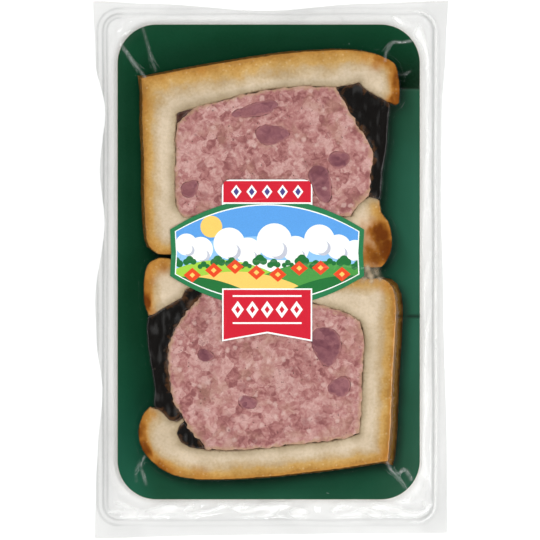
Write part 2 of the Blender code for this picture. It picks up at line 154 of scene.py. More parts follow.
@dataclass(frozen=True)
class Graph:
    """Adds nodes to one shader tree and joins them."""

    tree: bpy.types.NodeTree

    def join(self, node: bpy.types.Node, inputs: dict[str | int, Value]) -> None:
        """Gives the node's inputs, by name or number, their signals or values."""
        for name, value in inputs.items():
            socket = node.inputs[name]
            if isinstance(value, Signal):
                self.tree.links.new(value.socket, socket)
            else:
                socket.default_value = (*value, 1.0) if isinstance(value, tuple) else value

    def node(self, kind: str, inputs: dict[str | int, Value], output: str | int = 0,
             **settings: object) -> Signal:
        """Adds a node.

        Args:
            kind: the node's type without its ShaderNode prefix.
            inputs: the inputs to be given, by name or number.
            output: the output to be returned.
            settings: the node's own properties.
        Returns:
            The node's output.
        """
        made = self.tree.nodes.new(f"ShaderNode{kind}")
        for name, value in settings.items():
            setattr(made, name, value)
        self.join(made, inputs)
        return Signal(self, made.outputs[output])

    def math(self, operation: str, first: Value, second: Value = 0.0) -> Signal:
        """Returns the result of a Math node."""
        return self.node("Math", {0: first, 1: second}, operation=operation)

    def mix(self, share: Value, first: Value, second: Value, blend: str = "MIX") -> Signal:
        """Returns the mix of two colours by a share from 0 to 1."""
        return self.node("Mix", {0: share, 6: first, 7: second}, 2, data_type="RGBA", blend_type=blend)

    def ramp(self, value: Signal, stops: Sequence[Stop]) -> Signal:
        """Returns the colour that a value from 0 to 1 has among the stops."""
        made = self.node("ValToRGB", {0: value})
        elements = made.socket.node.color_ramp.elements
        while len(elements) < len(stops):
            elements.new(1.0)
        for element, (place, colour) in zip(elements, stops):
            element.position = place
            element.color = (*colour, 1.0)
        return made

    @cached_property
    def place(self) -> Signal:
        """The place on the object, in metres."""
        return self.node("TexCoord", {}, "Object")

    def measure(self, name: str) -> Signal:
        """Returns the measure that the mesh carries under this name."""
        return self.node("Attribute", {}, "Fac", attribute_name=name, attribute_type="GEOMETRY")


@dataclass(frozen=True)
class Coat(Graph):
    """A material in the making, with its Principled shader."""

    material: bpy.types.Material
    shader: bpy.types.Node

    @classmethod
    def start(cls, name: str) -> Coat:
        """Returns the coat of a new material."""
        made = bpy.data.materials.new(name)
        made.use_nodes = True
        return cls(made.node_tree, made, made.node_tree.nodes["Principled BSDF"])

    def finish(self, colour: Signal, rough: Value, relief: Signal, strength: float, depth: float,
               shine: float) -> bpy.types.Material:
        """Joins the effects to the shader.

        Args:
            colour: the surface's colour.
            rough: its roughness.
            relief: its small heights, which bend the light.
            strength: how strongly they do so.
            depth: how deep they are.
            shine: its specular level.
        Returns:
            The finished material.
        """
        bump = self.node("Bump", {"Height": relief, "Strength": strength, "Distance": depth * MM})
        self.join(self.shader, {"Base Color": colour, "Roughness": rough, "Normal": bump,
                                "Specular IOR Level": shine})
        return self.material


def start_group(name: str, numbers: dict[str, float]) -> dict[str, Signal]:
    """Starts a shared effect on a place.

    Args:
        name: the group's name.
        numbers: the numbers that it takes besides the place, with their first values.
    Returns:
        The signals of its inputs, by name.
    """
    tree = bpy.data.node_groups.new(name, "ShaderNodeTree")
    tree.interface.new_socket("Place", in_out="INPUT", socket_type="NodeSocketVector")
    for label, first in numbers.items():
        tree.interface.new_socket(label, in_out="INPUT", socket_type="NodeSocketFloat").default_value = first
    start = tree.nodes.new("NodeGroupInput")
    return {label: Signal(Graph(tree), start.outputs[label]) for label in ("Place", *numbers)}


def end_group(results: dict[str, Signal]) -> bpy.types.NodeTree:
    """Gives a shared effect its number outputs and returns its tree."""
    graph = next(iter(results.values())).graph
    for label in results:
        graph.tree.interface.new_socket(label, in_out="OUTPUT", socket_type="NodeSocketFloat")
    graph.join(graph.tree.nodes.new("NodeGroupOutput"), results)
    return graph.tree


def scaled_place(inputs: dict[str, Signal]) -> Signal:
    """Returns the place divided by the group's Size in millimetres, moved on by its Seed."""
    graph = inputs["Place"].graph
    per_metre = graph.math("DIVIDE", 1.0 / MM, inputs["Size"])
    scaled = graph.node("VectorMath", {0: inputs["Place"], 3: per_metre}, operation="SCALE")
    shift = graph.node("CombineXYZ", {0: inputs["Seed"], 1: inputs["Seed"]})
    return graph.node("VectorMath", {0: scaled, 1: shift}, operation="ADD")


def build_mottle() -> bpy.types.NodeTree:
    """Soft patches: Mask rises from 0 to 1 as the noise goes from Low to High, and Height is the noise."""
    numbers = {"Size": 5.0, "Detail": 3.0, "Low": 0.35, "High": 0.65, "Twist": 0.0, "Seed": 0.0}
    inputs = start_group("mottle", numbers)
    place = scaled_place(inputs)
    cloud = place.graph.node("TexNoise", {"Vector": place, "Scale": 1.0, "Detail": inputs["Detail"],
                                          "Distortion": inputs["Twist"]})
    return end_group({"Mask": cloud.eased(inputs["Low"], inputs["High"]), "Height": cloud})


def build_fleck() -> bpy.types.NodeTree:
    """Uneven bits: a Share of cells of the given Size show in Mask, and Tone is a number for each cell."""
    inputs = start_group("fleck", {"Size": 2.0, "Share": 0.2, "Reach": 0.45, "Seed": 0.0})
    place = scaled_place(inputs)
    graph = place.graph
    warp = graph.node("TexNoise", {"Vector": place, "Scale": 1.3, "Detail": 2.0}, "Color")
    bent = graph.node("VectorMath", {0: warp, 3: 0.7}, operation="SCALE")
    moved = graph.node("VectorMath", {0: place, 1: bent}, operation="ADD")
    cells = graph.node("TexVoronoi", {"Vector": moved, "Scale": 1.0}, "Distance")
    tone = graph.node("SeparateColor", {0: cells.output("Color")})
    near = cells.eased(inputs["Reach"] * 0.4, inputs["Reach"], 1.0, 0.0)
    chosen = graph.math("LESS_THAN", tone, inputs["Share"])
    return end_group({"Mask": chosen * near, "Tone": tone.output("Green")})


@dataclass(frozen=True)
class SharedEffects:
    """The effects that more than one finish uses, each built once as a node group."""

    mottle: bpy.types.NodeTree = field(default_factory=build_mottle)
    fleck: bpy.types.NodeTree = field(default_factory=build_fleck)

    def mottled(self, coat: Coat, size: float, **numbers: float) -> Signal:
        """Returns the height of soft patches of this size."""
        inputs = {"Place": coat.place, "Size": size, **numbers}
        return coat.node("Group", inputs, "Height", node_tree=self.mottle)

    def flecked(self, coat: Coat, size: float, **numbers: float) -> Signal:
        """Returns the mask of uneven bits of this size."""
        inputs = {"Place": coat.place, "Size": size, **numbers}
        return coat.node("Group", inputs, "Mask", node_tree=self.fleck)


# Finishes


@dataclass(frozen=True)
class PastryFinish:
    """Cut hot-water pastry: a golden rim that fades to cream, toasted in places and damp at the meat, with
    painted shade on its baked walls and in a crease, and painted glints near its rim.
    """

    effects: SharedEffects
    rim: Colour = (0.42, 0.215, 0.055)
    gold: Colour = (0.50, 0.270, 0.068)
    pale_gold: Colour = (0.58, 0.36, 0.125)
    inner_gold: Colour = (0.56, 0.412, 0.240)
    cream: Colour = (0.67, 0.55, 0.405)
    damp_cream: Colour = (0.41, 0.32, 0.205)
    seam: Colour = (0.13, 0.068, 0.036)
    tan: Colour = (0.46, 0.180, 0.026)
    toast_and_shade: Colour = (0.160, 0.040, 0.005)
    wall_brown_and_shade: Colour = (0.100, 0.047, 0.008)
    crumb: Colour = (0.78, 0.62, 0.36)
    rim_depth: float = 8.0
    wander: float = 5.0
    fray: float = 1.6
    damp_reach: float = 4.4
    seam_reach: float = 1.5

    def material(self) -> bpy.types.Material:
        """Returns the pastry's material, which reads the rind and damp measures and the measures of toasting
        and of the walls, both of which also carry painted shade.
        """
        coat = Coat.start("cut_pastry")
        broad = self.effects.mottled(coat, 6.0, Detail=4.0, Seed=3.0)
        fine = self.effects.mottled(coat, 1.1, Seed=7.0)
        clouds = self.effects.mottled(coat, 13.0, Seed=2.0)
        crumbs = self.effects.flecked(coat, 1.4, Share=0.22, Seed=5.0)
        wander = (broad - 0.5) * self.wander
        fray = (fine - 0.5) * self.fray
        share = ((coat.measure("rind") + (wander + fray)) * (1.0 / self.rim_depth)).clamped()
        colour = coat.ramp(share, ((0.0, self.rim), (0.11, self.gold), (0.33, self.pale_gold),
                                   (0.56, self.inner_gold), (0.90, self.cream)))
        damp = coat.measure("damp")
        near_meat = (damp + wander * 0.5).eased(0.0, self.damp_reach, 1.0, 0.0)
        colour = coat.mix(near_meat, colour, self.damp_cream)
        at_meat = (damp + fray).eased(0.1, self.seam_reach, 0.7, 0.0)
        colour = coat.mix(at_meat * (0.2 + 0.8 * clouds.eased(0.44, 0.58)), colour, self.seam)
        # The toast measure also carries painted shade from two spots along a crease
        toasted_and_shaded = (coat.measure("toast_and_shade") * (0.5 + broad)).clamped()
        colour = coat.mix((toasted_and_shaded * 1.5).clamped(), colour, self.tan)
        colour = coat.mix(toasted_and_shaded.eased(0.35, 0.95), colour, self.toast_and_shade)
        # The baked brown of the upright walls, darkened with painted shade
        wall_brown_and_shade_share = (coat.measure("wall_brown_and_shade") * (0.45 + fine)).clamped()
        colour = coat.mix(wall_brown_and_shade_share * 0.95, colour, self.wall_brown_and_shade)
        pale = 1.0 - coat.math("MAXIMUM", toasted_and_shaded, wall_brown_and_shade_share)
        # Crumb flecks, more of them near the rim, where they also paint glints along the golden band
        crumb_and_glint_share = (pale * (0.12 + 0.16 * (1.0 - share))).clamped()
        colour = coat.mix(crumbs * crumb_and_glint_share, colour, self.crumb)
        grain = coat.ramp(fine, ((0.25, (0.90, 0.89, 0.86)), (0.55, (1.0, 1.0, 1.0)),
                                 (0.80, (1.04, 1.04, 1.03))))
        shade = coat.ramp(clouds, ((0.35, (0.88, 0.86, 0.82)), (0.6, (1.03, 1.03, 1.03))))
        colour = coat.mix(1.0, colour, coat.mix(1.0, grain, shade, "MULTIPLY"), "MULTIPLY")
        return coat.finish(colour, rough=share.between(0.5, 0.75), relief=fine + crumbs * 0.4,
                           strength=0.22, depth=0.2, shine=0.0)


@dataclass(frozen=True)
class MeatFinish:
    """Coarse pork forcemeat or a piece of ham: lean and fat in soft-edged bits, with a few dark specks."""

    effects: SharedEffects
    name: str
    dark: Colour
    middle: Colour
    light: Colour
    fat_share: float
    speck_share: float
    bit_size: float = 3.6
    cracks: float = 0.75
    crevice: Colour = (0.17, 0.045, 0.045)
    surround: Colour = (0.47, 0.300, 0.175)
    surround_reach: float = 2.1
    surround_share: float = 0.75
    raggedness: float = 5.0
    tan: Colour = (0.42, 0.235, 0.165)
    fat: Colour = (0.66, 0.45, 0.405)
    speck: Colour = (0.10, 0.045, 0.035)

    def material(self) -> bpy.types.Material:
        """Returns the material, which reads the edge measure."""
        coat = Coat.start(self.name)
        mottled, flecked, bit = self.effects.mottled, self.effects.flecked, self.bit_size
        broad = mottled(coat, 2.0 * bit, Twist=1.6, Seed=1.0)
        grain = mottled(coat, 0.7 * bit, Twist=1.2, Seed=9.0)
        split = mottled(coat, 1.25 * bit, Detail=2.0, Twist=1.4, Seed=12.0)
        cooked = mottled(coat, 9.0, Low=0.5, High=0.68, Seed=15.0).output("Mask")
        tone = flecked(coat, bit, Share=1.0, Reach=0.75, Seed=2.0).output("Tone")
        lean = flecked(coat, 1.5 * bit, Share=0.16, Reach=0.5, Seed=6.0)
        fat = flecked(coat, 0.8 * bit, Share=self.fat_share, Reach=0.5, Seed=4.0)
        specks = flecked(coat, 1.7, Share=self.speck_share, Reach=0.26, Seed=8.0)
        blend = broad * 0.45 + grain * 0.55 + (tone - 0.5) * 0.20
        colour = coat.ramp(blend, ((0.34, self.dark), (0.46, self.middle), (0.64, self.light)))
        colour = coat.mix(cooked * 0.4, colour, self.tan)
        colour = coat.mix(lean * 0.5, colour, self.dark)
        colour = coat.mix(fat * 0.6, colour, self.fat)
        crack = abs(split - 0.5).eased(0.004, 0.022, 0.75, 0.0)
        crack = crack * broad.eased(0.44, 0.58) * grain.eased(0.47, 0.56)
        colour = coat.mix(crack * self.cracks, colour, self.crevice)
        colour = coat.mix(specks * 0.8, colour, self.speck)
        from_edge = coat.measure("edge") + (split - 0.5) * self.raggedness
        at_edge = from_edge.eased(0.0, self.surround_reach, self.surround_share, 0.0)
        colour = coat.mix(at_edge, colour, self.surround)
        return coat.finish(colour, rough=grain.between(0.38, 0.62), relief=grain + fat * 0.3,
                           strength=0.4, depth=0.3, shine=0.35)


@dataclass(frozen=True)
class JellyFinish:
    """Dark set jelly, nearly black where it is thick and brown at its edges."""

    effects: SharedEffects
    name: str
    deep: Colour = (0.0055, 0.0045, 0.0040)
    thin: Colour = (0.085, 0.036, 0.013)
    bit: Colour = (0.10, 0.075, 0.055)
    thin_reach: float = 2.2
    wander: float = 9.0

    def material(self) -> bpy.types.Material:
        """Returns the jelly's material, which reads the edge measure."""
        coat = Coat.start(self.name)
        cloud = self.effects.mottled(coat, 5.0, Twist=1.0)
        bits = self.effects.flecked(coat, 2.2, Share=0.12, Reach=0.35)
        from_edge = coat.measure("edge") + (cloud - 0.46) * self.wander
        colour = coat.mix(from_edge.eased(0.0, self.thin_reach, 0.8, 0.0), self.deep, self.thin)
        colour = coat.mix(bits * 0.25, colour, self.bit)
        return coat.finish(colour, rough=cloud.between(0.08, 0.30), relief=cloud,
                           strength=0.45, depth=0.6, shine=0.4)


@dataclass(frozen=True)
class CardFinish:
    """Board with a green gloss coat on its face and pale bare paper at its cut edges and back."""

    effects: SharedEffects
    green: Colour = (0.0025, 0.052, 0.020)
    lighter_green: Colour = (0.0040, 0.058, 0.024)
    lit_green: Colour = (0.0090, 0.100, 0.055)
    shadowed_green: Colour = (0.0004, 0.0150, 0.0040)
    grain: Colour = (0.02, 0.10, 0.055)
    dust: Colour = (0.25, 0.33, 0.30)

    def coated(self) -> bpy.types.Material:
        """Returns the coated face, with painted light at the right and bottom and painted shadow above its
        bend at the right.
        """
        coat = Coat.start("green_coated_card")
        cloud = self.effects.mottled(coat, 22.0, Detail=2.0, Seed=2.0)
        grain = self.effects.mottled(coat, 0.8, Detail=2.0, Seed=4.0)
        dust = self.effects.flecked(coat, 9.0, Share=0.05, Reach=0.05)
        metres = coat.node("SeparateXYZ", {0: coat.place})
        right = metres * (1.0 / MM)
        left = metres * (-1.0 / MM)
        down = metres.output("Y") * (-1.0 / MM)
        past_bend = down.eased(*CARD_BEND)
        # Painted light: lighter green towards the right below the bend, and at the bottom and lower left
        rightward = right.eased(25.0, 62.0) * past_bend * down.eased(-104.0, -22.0)
        downward = down.eased(20.0, 100.0)
        lower = downward * (0.38 + left.eased(46.0, 60.0))
        lit = coat.math("MAXIMUM", rightward * (1.0 - downward * 0.60), lower)
        # Painted shadow in the upper right corner, above the bend
        corner = right.eased(42.0, 54.0) * down.eased(-102.0, -78.0) * (1.0 - past_bend)
        colour = coat.mix(cloud.output("Mask"), self.green, self.lighter_green)
        colour = coat.mix((lit * (0.5 + cloud)).clamped(), colour, self.lit_green)
        colour = coat.mix(corner, colour, self.shadowed_green)
        colour = coat.mix(grain.output("Mask") * 0.08, colour, self.grain)
        colour = coat.mix(dust * 0.4, colour, self.dust)
        return coat.finish(colour, rough=grain.between(0.30, 0.42), relief=grain,
                           strength=0.10, depth=0.1, shine=0.08)

    def bare(self) -> bpy.types.Material:
        """Returns the pale paper of the card's edge and back."""
        coat = Coat.start("pale_card_edge")
        fibres = self.effects.mottled(coat, 0.6, Detail=4.0)
        colour = coat.ramp(fibres, ((0.3, (0.55, 0.50, 0.40)), (0.7, (0.74, 0.70, 0.60))))
        return coat.finish(colour, rough=0.8, relief=fibres, strength=0.3, depth=0.1, shine=0.5)


class Ink(Enum):
    """The label's printed colours."""

    WHITE = (0.86, 0.88, 0.86)
    BORDER_GREEN = (0.020, 0.175, 0.065)
    SKY = (0.095, 0.315, 0.70)
    PALE_SKY = (0.25, 0.50, 0.80)
    GREY = (0.48, 0.50, 0.58)
    DEEP_GREEN = (0.015, 0.150, 0.035)
    MID_GREEN = (0.065, 0.29, 0.055)
    LIME = (0.33, 0.58, 0.055)
    ORANGE_RED = (0.72, 0.060, 0.015)
    YELLOW = (0.84, 0.55, 0.13)
    RED = (0.56, 0.012, 0.030)
    VIOLET = (0.065, 0.055, 0.22)


@dataclass(frozen=True)
class InkFinish:
    """Printed film: one flat ink with the faint unevenness and soft gloss of the print."""

    effects: SharedEffects
    ink: Ink

    def material(self) -> bpy.types.Material:
        """Returns the ink's material."""
        coat = Coat.start(f"ink_{self.ink.name.lower()}")
        press = self.effects.mottled(coat, 0.5, Detail=2.0)
        tone = coat.ramp(press, ((0.3, (0.93, 0.93, 0.93)), (0.7, (1.03, 1.03, 1.03))))
        colour = coat.mix(1.0, self.ink.value, tone, "MULTIPLY")
        return coat.finish(colour, rough=press.between(0.30, 0.40), relief=press,
                           strength=0.08, depth=0.1, shine=0.35)


@dataclass(frozen=True)
class FilmFinish:
    """Clear glossy film, milky along its folds, bends and weld, where its milkiness also paints highlights
    and its tint paints shade and shadow.
    """

    tint: Colour = (0.950, 0.950, 0.947)
    fold_and_shadow_tint: Colour = (0.40, 0.41, 0.41)
    milk_and_highlight: Colour = (0.92, 0.92, 0.91)
    grease: Colour = (0.54, 0.42, 0.28)
    gloss: Colour = (0.95, 0.97, 0.97)
    gloss_roughness: float = 0.07
    film_ior: float = 1.4

    def material(self) -> bpy.types.Material:
        """Returns the film's material: see-through, with a gloss that grows towards grazing angles."""
        coat = Coat.start("clear_film")
        behind = coat.node("NewGeometry", {}, "Backfacing")
        ior = behind * (1.0 / self.film_ior - self.film_ior) + self.film_ior
        gloss_share = coat.node("Fresnel", {"IOR": ior})
        # The tint darkens by painted shade along folds and painted shadow beside the slices
        tint = coat.mix(coat.measure("fold_and_shade"), self.tint, self.fold_and_shadow_tint)
        clear = coat.node("BsdfTransparent", {"Color": tint})
        gloss = coat.node("BsdfGlossy", {"Color": self.gloss, "Roughness": self.gloss_roughness})
        film = coat.node("MixShader", {0: gloss_share * (1.0 - coat.measure("calm")), 1: clear, 2: gloss})
        cloudy = coat.mix(coat.measure("grease"), self.milk_and_highlight, self.grease)
        coat.join(coat.shader, {"Base Color": cloudy, "Roughness": 0.3})
        milky_and_highlight = Signal(coat, coat.shader.outputs[0])
        # The milky part is real milkiness and also paints highlights on crumples, creases, bends and jelly
        end = coat.node("MixShader", {0: coat.measure("haze_and_highlight"), 1: film, 2: milky_and_highlight})
        coat.join(coat.tree.nodes["Material Output"], {"Surface": end})
        return coat.material


# Meshes


def place_new(name: str, data: bpy.types.ID) -> bpy.types.Object:
    """Adds an object with this data to the scene."""
    made = bpy.data.objects.new(name, data)
    bpy.context.scene.collection.objects.link(made)
    return made


def add_object(name: str, mesh: bpy.types.Mesh, slot: Slot, materials: Sequence[bpy.types.Material],
               stands_for: Sequence[str]) -> bpy.types.Object:
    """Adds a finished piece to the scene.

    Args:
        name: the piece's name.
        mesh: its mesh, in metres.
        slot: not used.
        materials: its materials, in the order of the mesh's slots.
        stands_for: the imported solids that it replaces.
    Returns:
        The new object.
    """
    made = place_new(name, mesh)
    for each in materials:
        mesh.materials.append(each)
    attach(made, BODY)
    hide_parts(*stands_for)
    log.info("%s: %d faces", name, len(mesh.polygons))
    return made


def mesh_from(shape: bmesh.types.BMesh, name: str) -> bpy.types.Mesh:
    """Returns the shape as a mesh and frees it."""
    mesh = bpy.data.meshes.new(name)
    shape.to_mesh(mesh)
    shape.free()
    return mesh


def vertices_of(mesh: bpy.types.Mesh) -> np.ndarray:
    """Returns the mesh's points in millimetres, one row each."""
    flat = np.empty(len(mesh.vertices) * 3)
    mesh.vertices.foreach_get("co", flat)
    return flat.reshape(-1, 3) / MM


def set_measure(mesh: bpy.types.Mesh, name: str, values: np.ndarray) -> None:
    """Stores a number for each point, for a finish to read."""
    made = mesh.attributes.new(name, "FLOAT", "POINT")
    made.data.foreach_set("value", np.asarray(values, dtype=np.float32))


def noise_at(points: np.ndarray, size: float, seed: float = 0.0) -> np.ndarray:
    """Returns smooth noise from -1 to 1 at each point, with bumps of the given size."""
    shift = Vector((seed, 2 * seed, 3 * seed))
    return np.array([noise.noise(Vector(p) / size + shift) for p in points.tolist()])


def smooth_step(values: np.ndarray, low: float, high: float) -> np.ndarray:
    """Returns 0 below low, 1 above high, and an eased rise between."""
    share = np.clip((values - low) / (high - low), 0.0, 1.0)
    return share * share * (3 - 2 * share)


def widened(grid: np.ndarray) -> np.ndarray:
    """Returns the grid with each value raised to the highest of its four neighbours."""
    return np.maximum.reduce([grid] + [np.roll(grid, step, axis) for step in (-1, 1) for axis in (0, 1)])


def blurred(grid: np.ndarray, rounds: int = 1) -> np.ndarray:
    """Returns the grid with each value inside its edge turned to its neighbours' mean, again and again."""
    soft = grid.copy()
    for _ in range(rounds):
        soft[1:-1, 1:-1] = (soft[2:, 1:-1] + soft[:-2, 1:-1] + soft[1:-1, 2:] + soft[1:-1, :-2]) / 4
    return soft


def nearest_distance(tree: BVHTree, points: np.ndarray) -> np.ndarray:
    """Returns each point's distance to the surface in the tree, in millimetres."""
    return np.array([tree.find_nearest(Vector(p) * MM)[3] for p in points.tolist()]) / MM


@dataclass
class PackedFrame:
    """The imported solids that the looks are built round."""

    nodes: dict[str, bpy.types.Object]
    weld_distance: float = 1e-7

    def welded(self, name: str) -> bmesh.types.BMesh:
        """Returns a node's mesh with its split points joined again, for the caller to free."""
        shape = bmesh.new()
        shape.from_mesh(self.nodes[name].data)
        bmesh.ops.remove_doubles(shape, verts=shape.verts, dist=self.weld_distance)
        bmesh.ops.recalc_face_normals(shape, faces=shape.faces)
        return shape

    def tree(self, *names: str, keep: Callable[[bmesh.types.BMFace], bool] | None = None) -> BVHTree:
        """Returns a search tree of the faces of some nodes, or only of those for which keep holds."""
        points: list[Vector] = []
        faces: list[list[int]] = []
        for name in names:
            shape = self.welded(name)
            first = len(points)
            shape.verts.index_update()
            points += [v.co.copy() for v in shape.verts]
            faces += [[first + v.index for v in f.verts] for f in shape.faces if keep is None or keep(f)]
            shape.free()
        return BVHTree.FromPolygons(points, faces)

    def box(self, name: str) -> tuple[np.ndarray, np.ndarray]:
        """Returns a node's lowest and highest corners in millimetres."""
        low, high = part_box(name)
        return np.array(low) / MM, np.array(high) / MM

    def footprint(self, name: str) -> np.ndarray:
        """Returns the corners of a node's base in millimetres, in order round its middle."""
        points = vertices_of(self.nodes[name].data)
        base = points[points[:, 2] < points[:, 2].min() + 0.01][:, :2]
        base = np.unique(base.round(3), axis=0)
        middle = base.mean(axis=0)
        around = np.arctan2(base[:, 1] - middle[1], base[:, 0] - middle[0])
        return base[np.argsort(around)]


@dataclass
class Relief:
    """A fine mesh whose points, in millimetres, are pushed in and out along their normals."""

    mesh: bpy.types.Mesh

    def __post_init__(self) -> None:
        """Reads the points and normals, and how upright the surface is at each: 0 lying, 1 standing."""
        self.points = vertices_of(self.mesh)
        flat = np.empty(self.points.size)
        self.mesh.vertex_normals.foreach_get("vector", flat)
        self.normals = flat.reshape(-1, 3)
        self.upright = 1.0 - np.abs(self.normals[:, 2])

    def push(self, shift: np.ndarray, ceiling: float = math.inf) -> None:
        """Moves each point out along its normal by its shift, and down to the ceiling if it is above."""
        self.points += self.normals * shift[:, None]
        self.points[:, 2] = np.minimum(self.points[:, 2], ceiling)
        self.mesh.vertices.foreach_set("co", (self.points * MM).ravel())
        self.mesh.update()


@dataclass
class FineCopy:
    """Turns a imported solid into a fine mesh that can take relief."""

    frame: PackedFrame
    voxel: float = 0.5
    swell: float = 0.40
    rise: float = 0.10
    smoothing: int = 3

    def build(self, node: str) -> Relief:
        """Returns the node's shape as a fine even mesh, swollen to close the gap to its neighbours."""
        shape = self.frame.welded(node)
        shape.normal_update()
        for vert in shape.verts:
            x, y, z = vert.normal
            vert.co += Vector((x * self.swell, y * self.swell, z * self.rise)) * MM
        mesh = mesh_from(shape, f"{node}_coarse")
        carrier = place_new(f"{node}_carrier", mesh)
        remesh = carrier.modifiers.new("even", "REMESH")
        remesh.mode = "VOXEL"
        remesh.voxel_size = self.voxel * MM
        remesh.use_smooth_shade = True
        relax = carrier.modifiers.new("soften", "SMOOTH")
        relax.factor = 0.5
        relax.iterations = self.smoothing
        evaluated = carrier.evaluated_get(bpy.context.evaluated_depsgraph_get())
        fine = bpy.data.meshes.new_from_object(evaluated)
        bpy.data.objects.remove(carrier)
        bpy.data.meshes.remove(mesh)
        fine.materials.clear()
        return Relief(fine)


# Food


@dataclass
class ToastedSpot:
    """A place where the pastry baked darker, or only its rim there; two of them paint shade along a crease
    instead.
    """

    x: float
    y: float
    reach: float
    strength: float
    at_rim: bool = False

    def darkness(self, points: np.ndarray, rind: np.ndarray, wander: np.ndarray) -> np.ndarray:
        """Returns how dark the spot makes each point, with wander for its uneven edge."""
        away = np.maximum(np.hypot(points[:, 0] - self.x, points[:, 1] - self.y) + wander, 0.0)
        dark = self.strength * np.exp(-(away / (0.7 * self.reach)) ** 2)
        return dark * (1.0 - smooth_step(rind + 0.5 * wander, 0.8, 5.0)) if self.at_rim else dark


@dataclass
class SliceOfPate:
    """One slice: its pastry, forcemeat, pieces of ham and jelly."""

    frame: PackedFrame
    side: Side
    pastry: bpy.types.Material
    meat: bpy.types.Material
    ham: bpy.types.Material
    jelly: bpy.types.Material
    thin_jelly: bpy.types.Material
    toasted_and_shaded: Sequence[ToastedSpot]
    deep_from: tuple[float, float] = (60.0, 74.0)
    deep_to: tuple[float, float] = (22.0, 44.0)
    deep_share: float = 0.38
    flake_height: float = 0.45
    flake_depth: float = 0.78
    crumb_height: float = 0.10
    meat_relief: float = 0.16
    ragged_edge: float = 1.35
    ham_ceiling: float = 13.95
    contact: float = 1.2

    def build(self) -> list[bpy.types.Object]:
        """Builds every piece of the slice and returns them."""
        made = [self._crust(), self._forcemeat()]
        made += [self._ham(name) for name in self._names("ham")]
        return made + [self._jelly(name) for name in self._names("jelly")]

    def _names(self, part: str) -> list[str]:
        """Returns the names of this slice's solids of one kind."""
        return sorted(n for n in self.frame.nodes if n.startswith(f"{self.side.value}_{part}"))

    def _baked_faces(self, filling: BVHTree) -> Callable[[bmesh.types.BMFace], bool]:
        """Returns a test for the faces of the pastry's baked outside, away from the filling."""
        def is_baked(face: bmesh.types.BMFace) -> bool:
            """Whether the face stands upright and no filling touches it."""
            upright = abs(face.normal.z) < 0.8
            return upright and filling.find_nearest(face.calc_center_median())[3] > self.contact * MM
        return is_baked

    def _crust(self) -> bpy.types.Object:
        """The pastry, with crumb on its cut face and flakes on its baked side."""
        node = f"{self.side.value}_crust"
        filling = self.frame.tree(f"{self.side.value}_forcemeat", *self._names("jelly"))
        baked = self.frame.tree(node, keep=self._baked_faces(filling))
        shape = FineCopy(self.frame, swell=0.30).build(node)
        points, upright = shape.points, shape.upright
        rind = nearest_distance(baked, points)
        outside = smooth_step(-rind, -1.4, -0.3)
        flat = points * (1.0, 1.0, 2.2)
        flakes = 1.0 - 2.0 * np.abs(noise_at(flat, 3.6, 1.0)) + 0.5 * noise_at(flat, 1.6, 4.0)
        crumb = noise_at(points, 2.6, 2.0) + 0.6 * noise_at(points, 1.1, 3.0)
        shift = (self.flake_height * flakes - self.flake_depth) * outside * upright
        shape.push(shift + self.crumb_height * crumb * (1.0 - upright) - 0.05)
        deep = smooth_step(points[:, 1], *self.deep_from) * (1.0 - smooth_step(points[:, 0], *self.deep_to))
        set_measure(shape.mesh, "rind", rind * (1.0 - self.deep_share * deep))
        # The upright baked walls, where the pastry's colour paints shade as well as its brown
        set_measure(shape.mesh, "wall_brown_and_shade", smooth_step(upright, 0.12, 0.75) * outside)
        set_measure(shape.mesh, "damp", nearest_distance(filling, points))
        set_measure(shape.mesh, "toast_and_shade", self._toast(points, rind))
        return add_object(f"{node}_baked", shape.mesh, Slot.PASTRY, [self.pastry], [node])

    def _toast(self, points: np.ndarray, rind: np.ndarray) -> np.ndarray:
        """Returns how dark each point is: baked on the outside and in the spots, two of which paint shade
        along a crease.
        """
        drawn_out = points * (1.0, 0.4, 0.3)
        wander = 2.4 * noise_at(drawn_out, 4.0, 16.0) + noise_at(drawn_out, 1.3, 17.0)
        spots = [spot.darkness(points, rind, wander) for spot in self.toasted_and_shaded]
        return np.maximum.reduce([0.20 * smooth_step(-rind, -0.9, 0.0)] + spots)

    def _measured(self, mesh: bpy.types.Mesh, *around: str) -> bpy.types.Mesh:
        """Returns the mesh with its edge measure: the distance from each point to the solids around."""
        set_measure(mesh, "edge", nearest_distance(self.frame.tree(*around), vertices_of(mesh)))
        return mesh

    def _forcemeat(self) -> bpy.types.Object:
        """The minced meat, with the low relief of its bits and a ragged edge."""
        node = f"{self.side.value}_forcemeat"
        shape = FineCopy(self.frame, swell=0.45, rise=0.25).build(node)
        relief = noise_at(shape.points, 3.0, 5.0) + 0.7 * noise_at(shape.points, 1.4, 6.0)
        flat = shape.points * (1.0, 1.0, 0.3)
        ragged = noise_at(flat, 4.2, 15.0) + 0.8 * noise_at(flat, 1.7, 19.0)
        shift = self.meat_relief * relief * (1.0 - shape.upright)
        shape.push(shift + self.ragged_edge * ragged * shape.upright - 0.05)
        mesh = self._measured(shape.mesh, f"{self.side.value}_crust", *self._names("jelly"))
        return add_object(f"{node}_cut", mesh, Slot.MEAT, [self.meat], [node])

    def _ham(self, node: str) -> bpy.types.Object:
        """One large piece of ham, its edge uneven."""
        shape = FineCopy(self.frame, voxel=0.35, swell=0.5, rise=0.2, smoothing=2).build(node)
        uneven = 0.35 * noise_at(shape.points * (1.0, 1.0, 0.2), 2.2, 8.0) * shape.upright
        shape.push(uneven + 0.05 * noise_at(shape.points, 1.2, 9.0) - 0.04, self.ham_ceiling)
        mesh = self._measured(shape.mesh, f"{self.side.value}_forcemeat")
        return add_object(f"{node}_cut", mesh, Slot.HAM, [self.ham], [node])

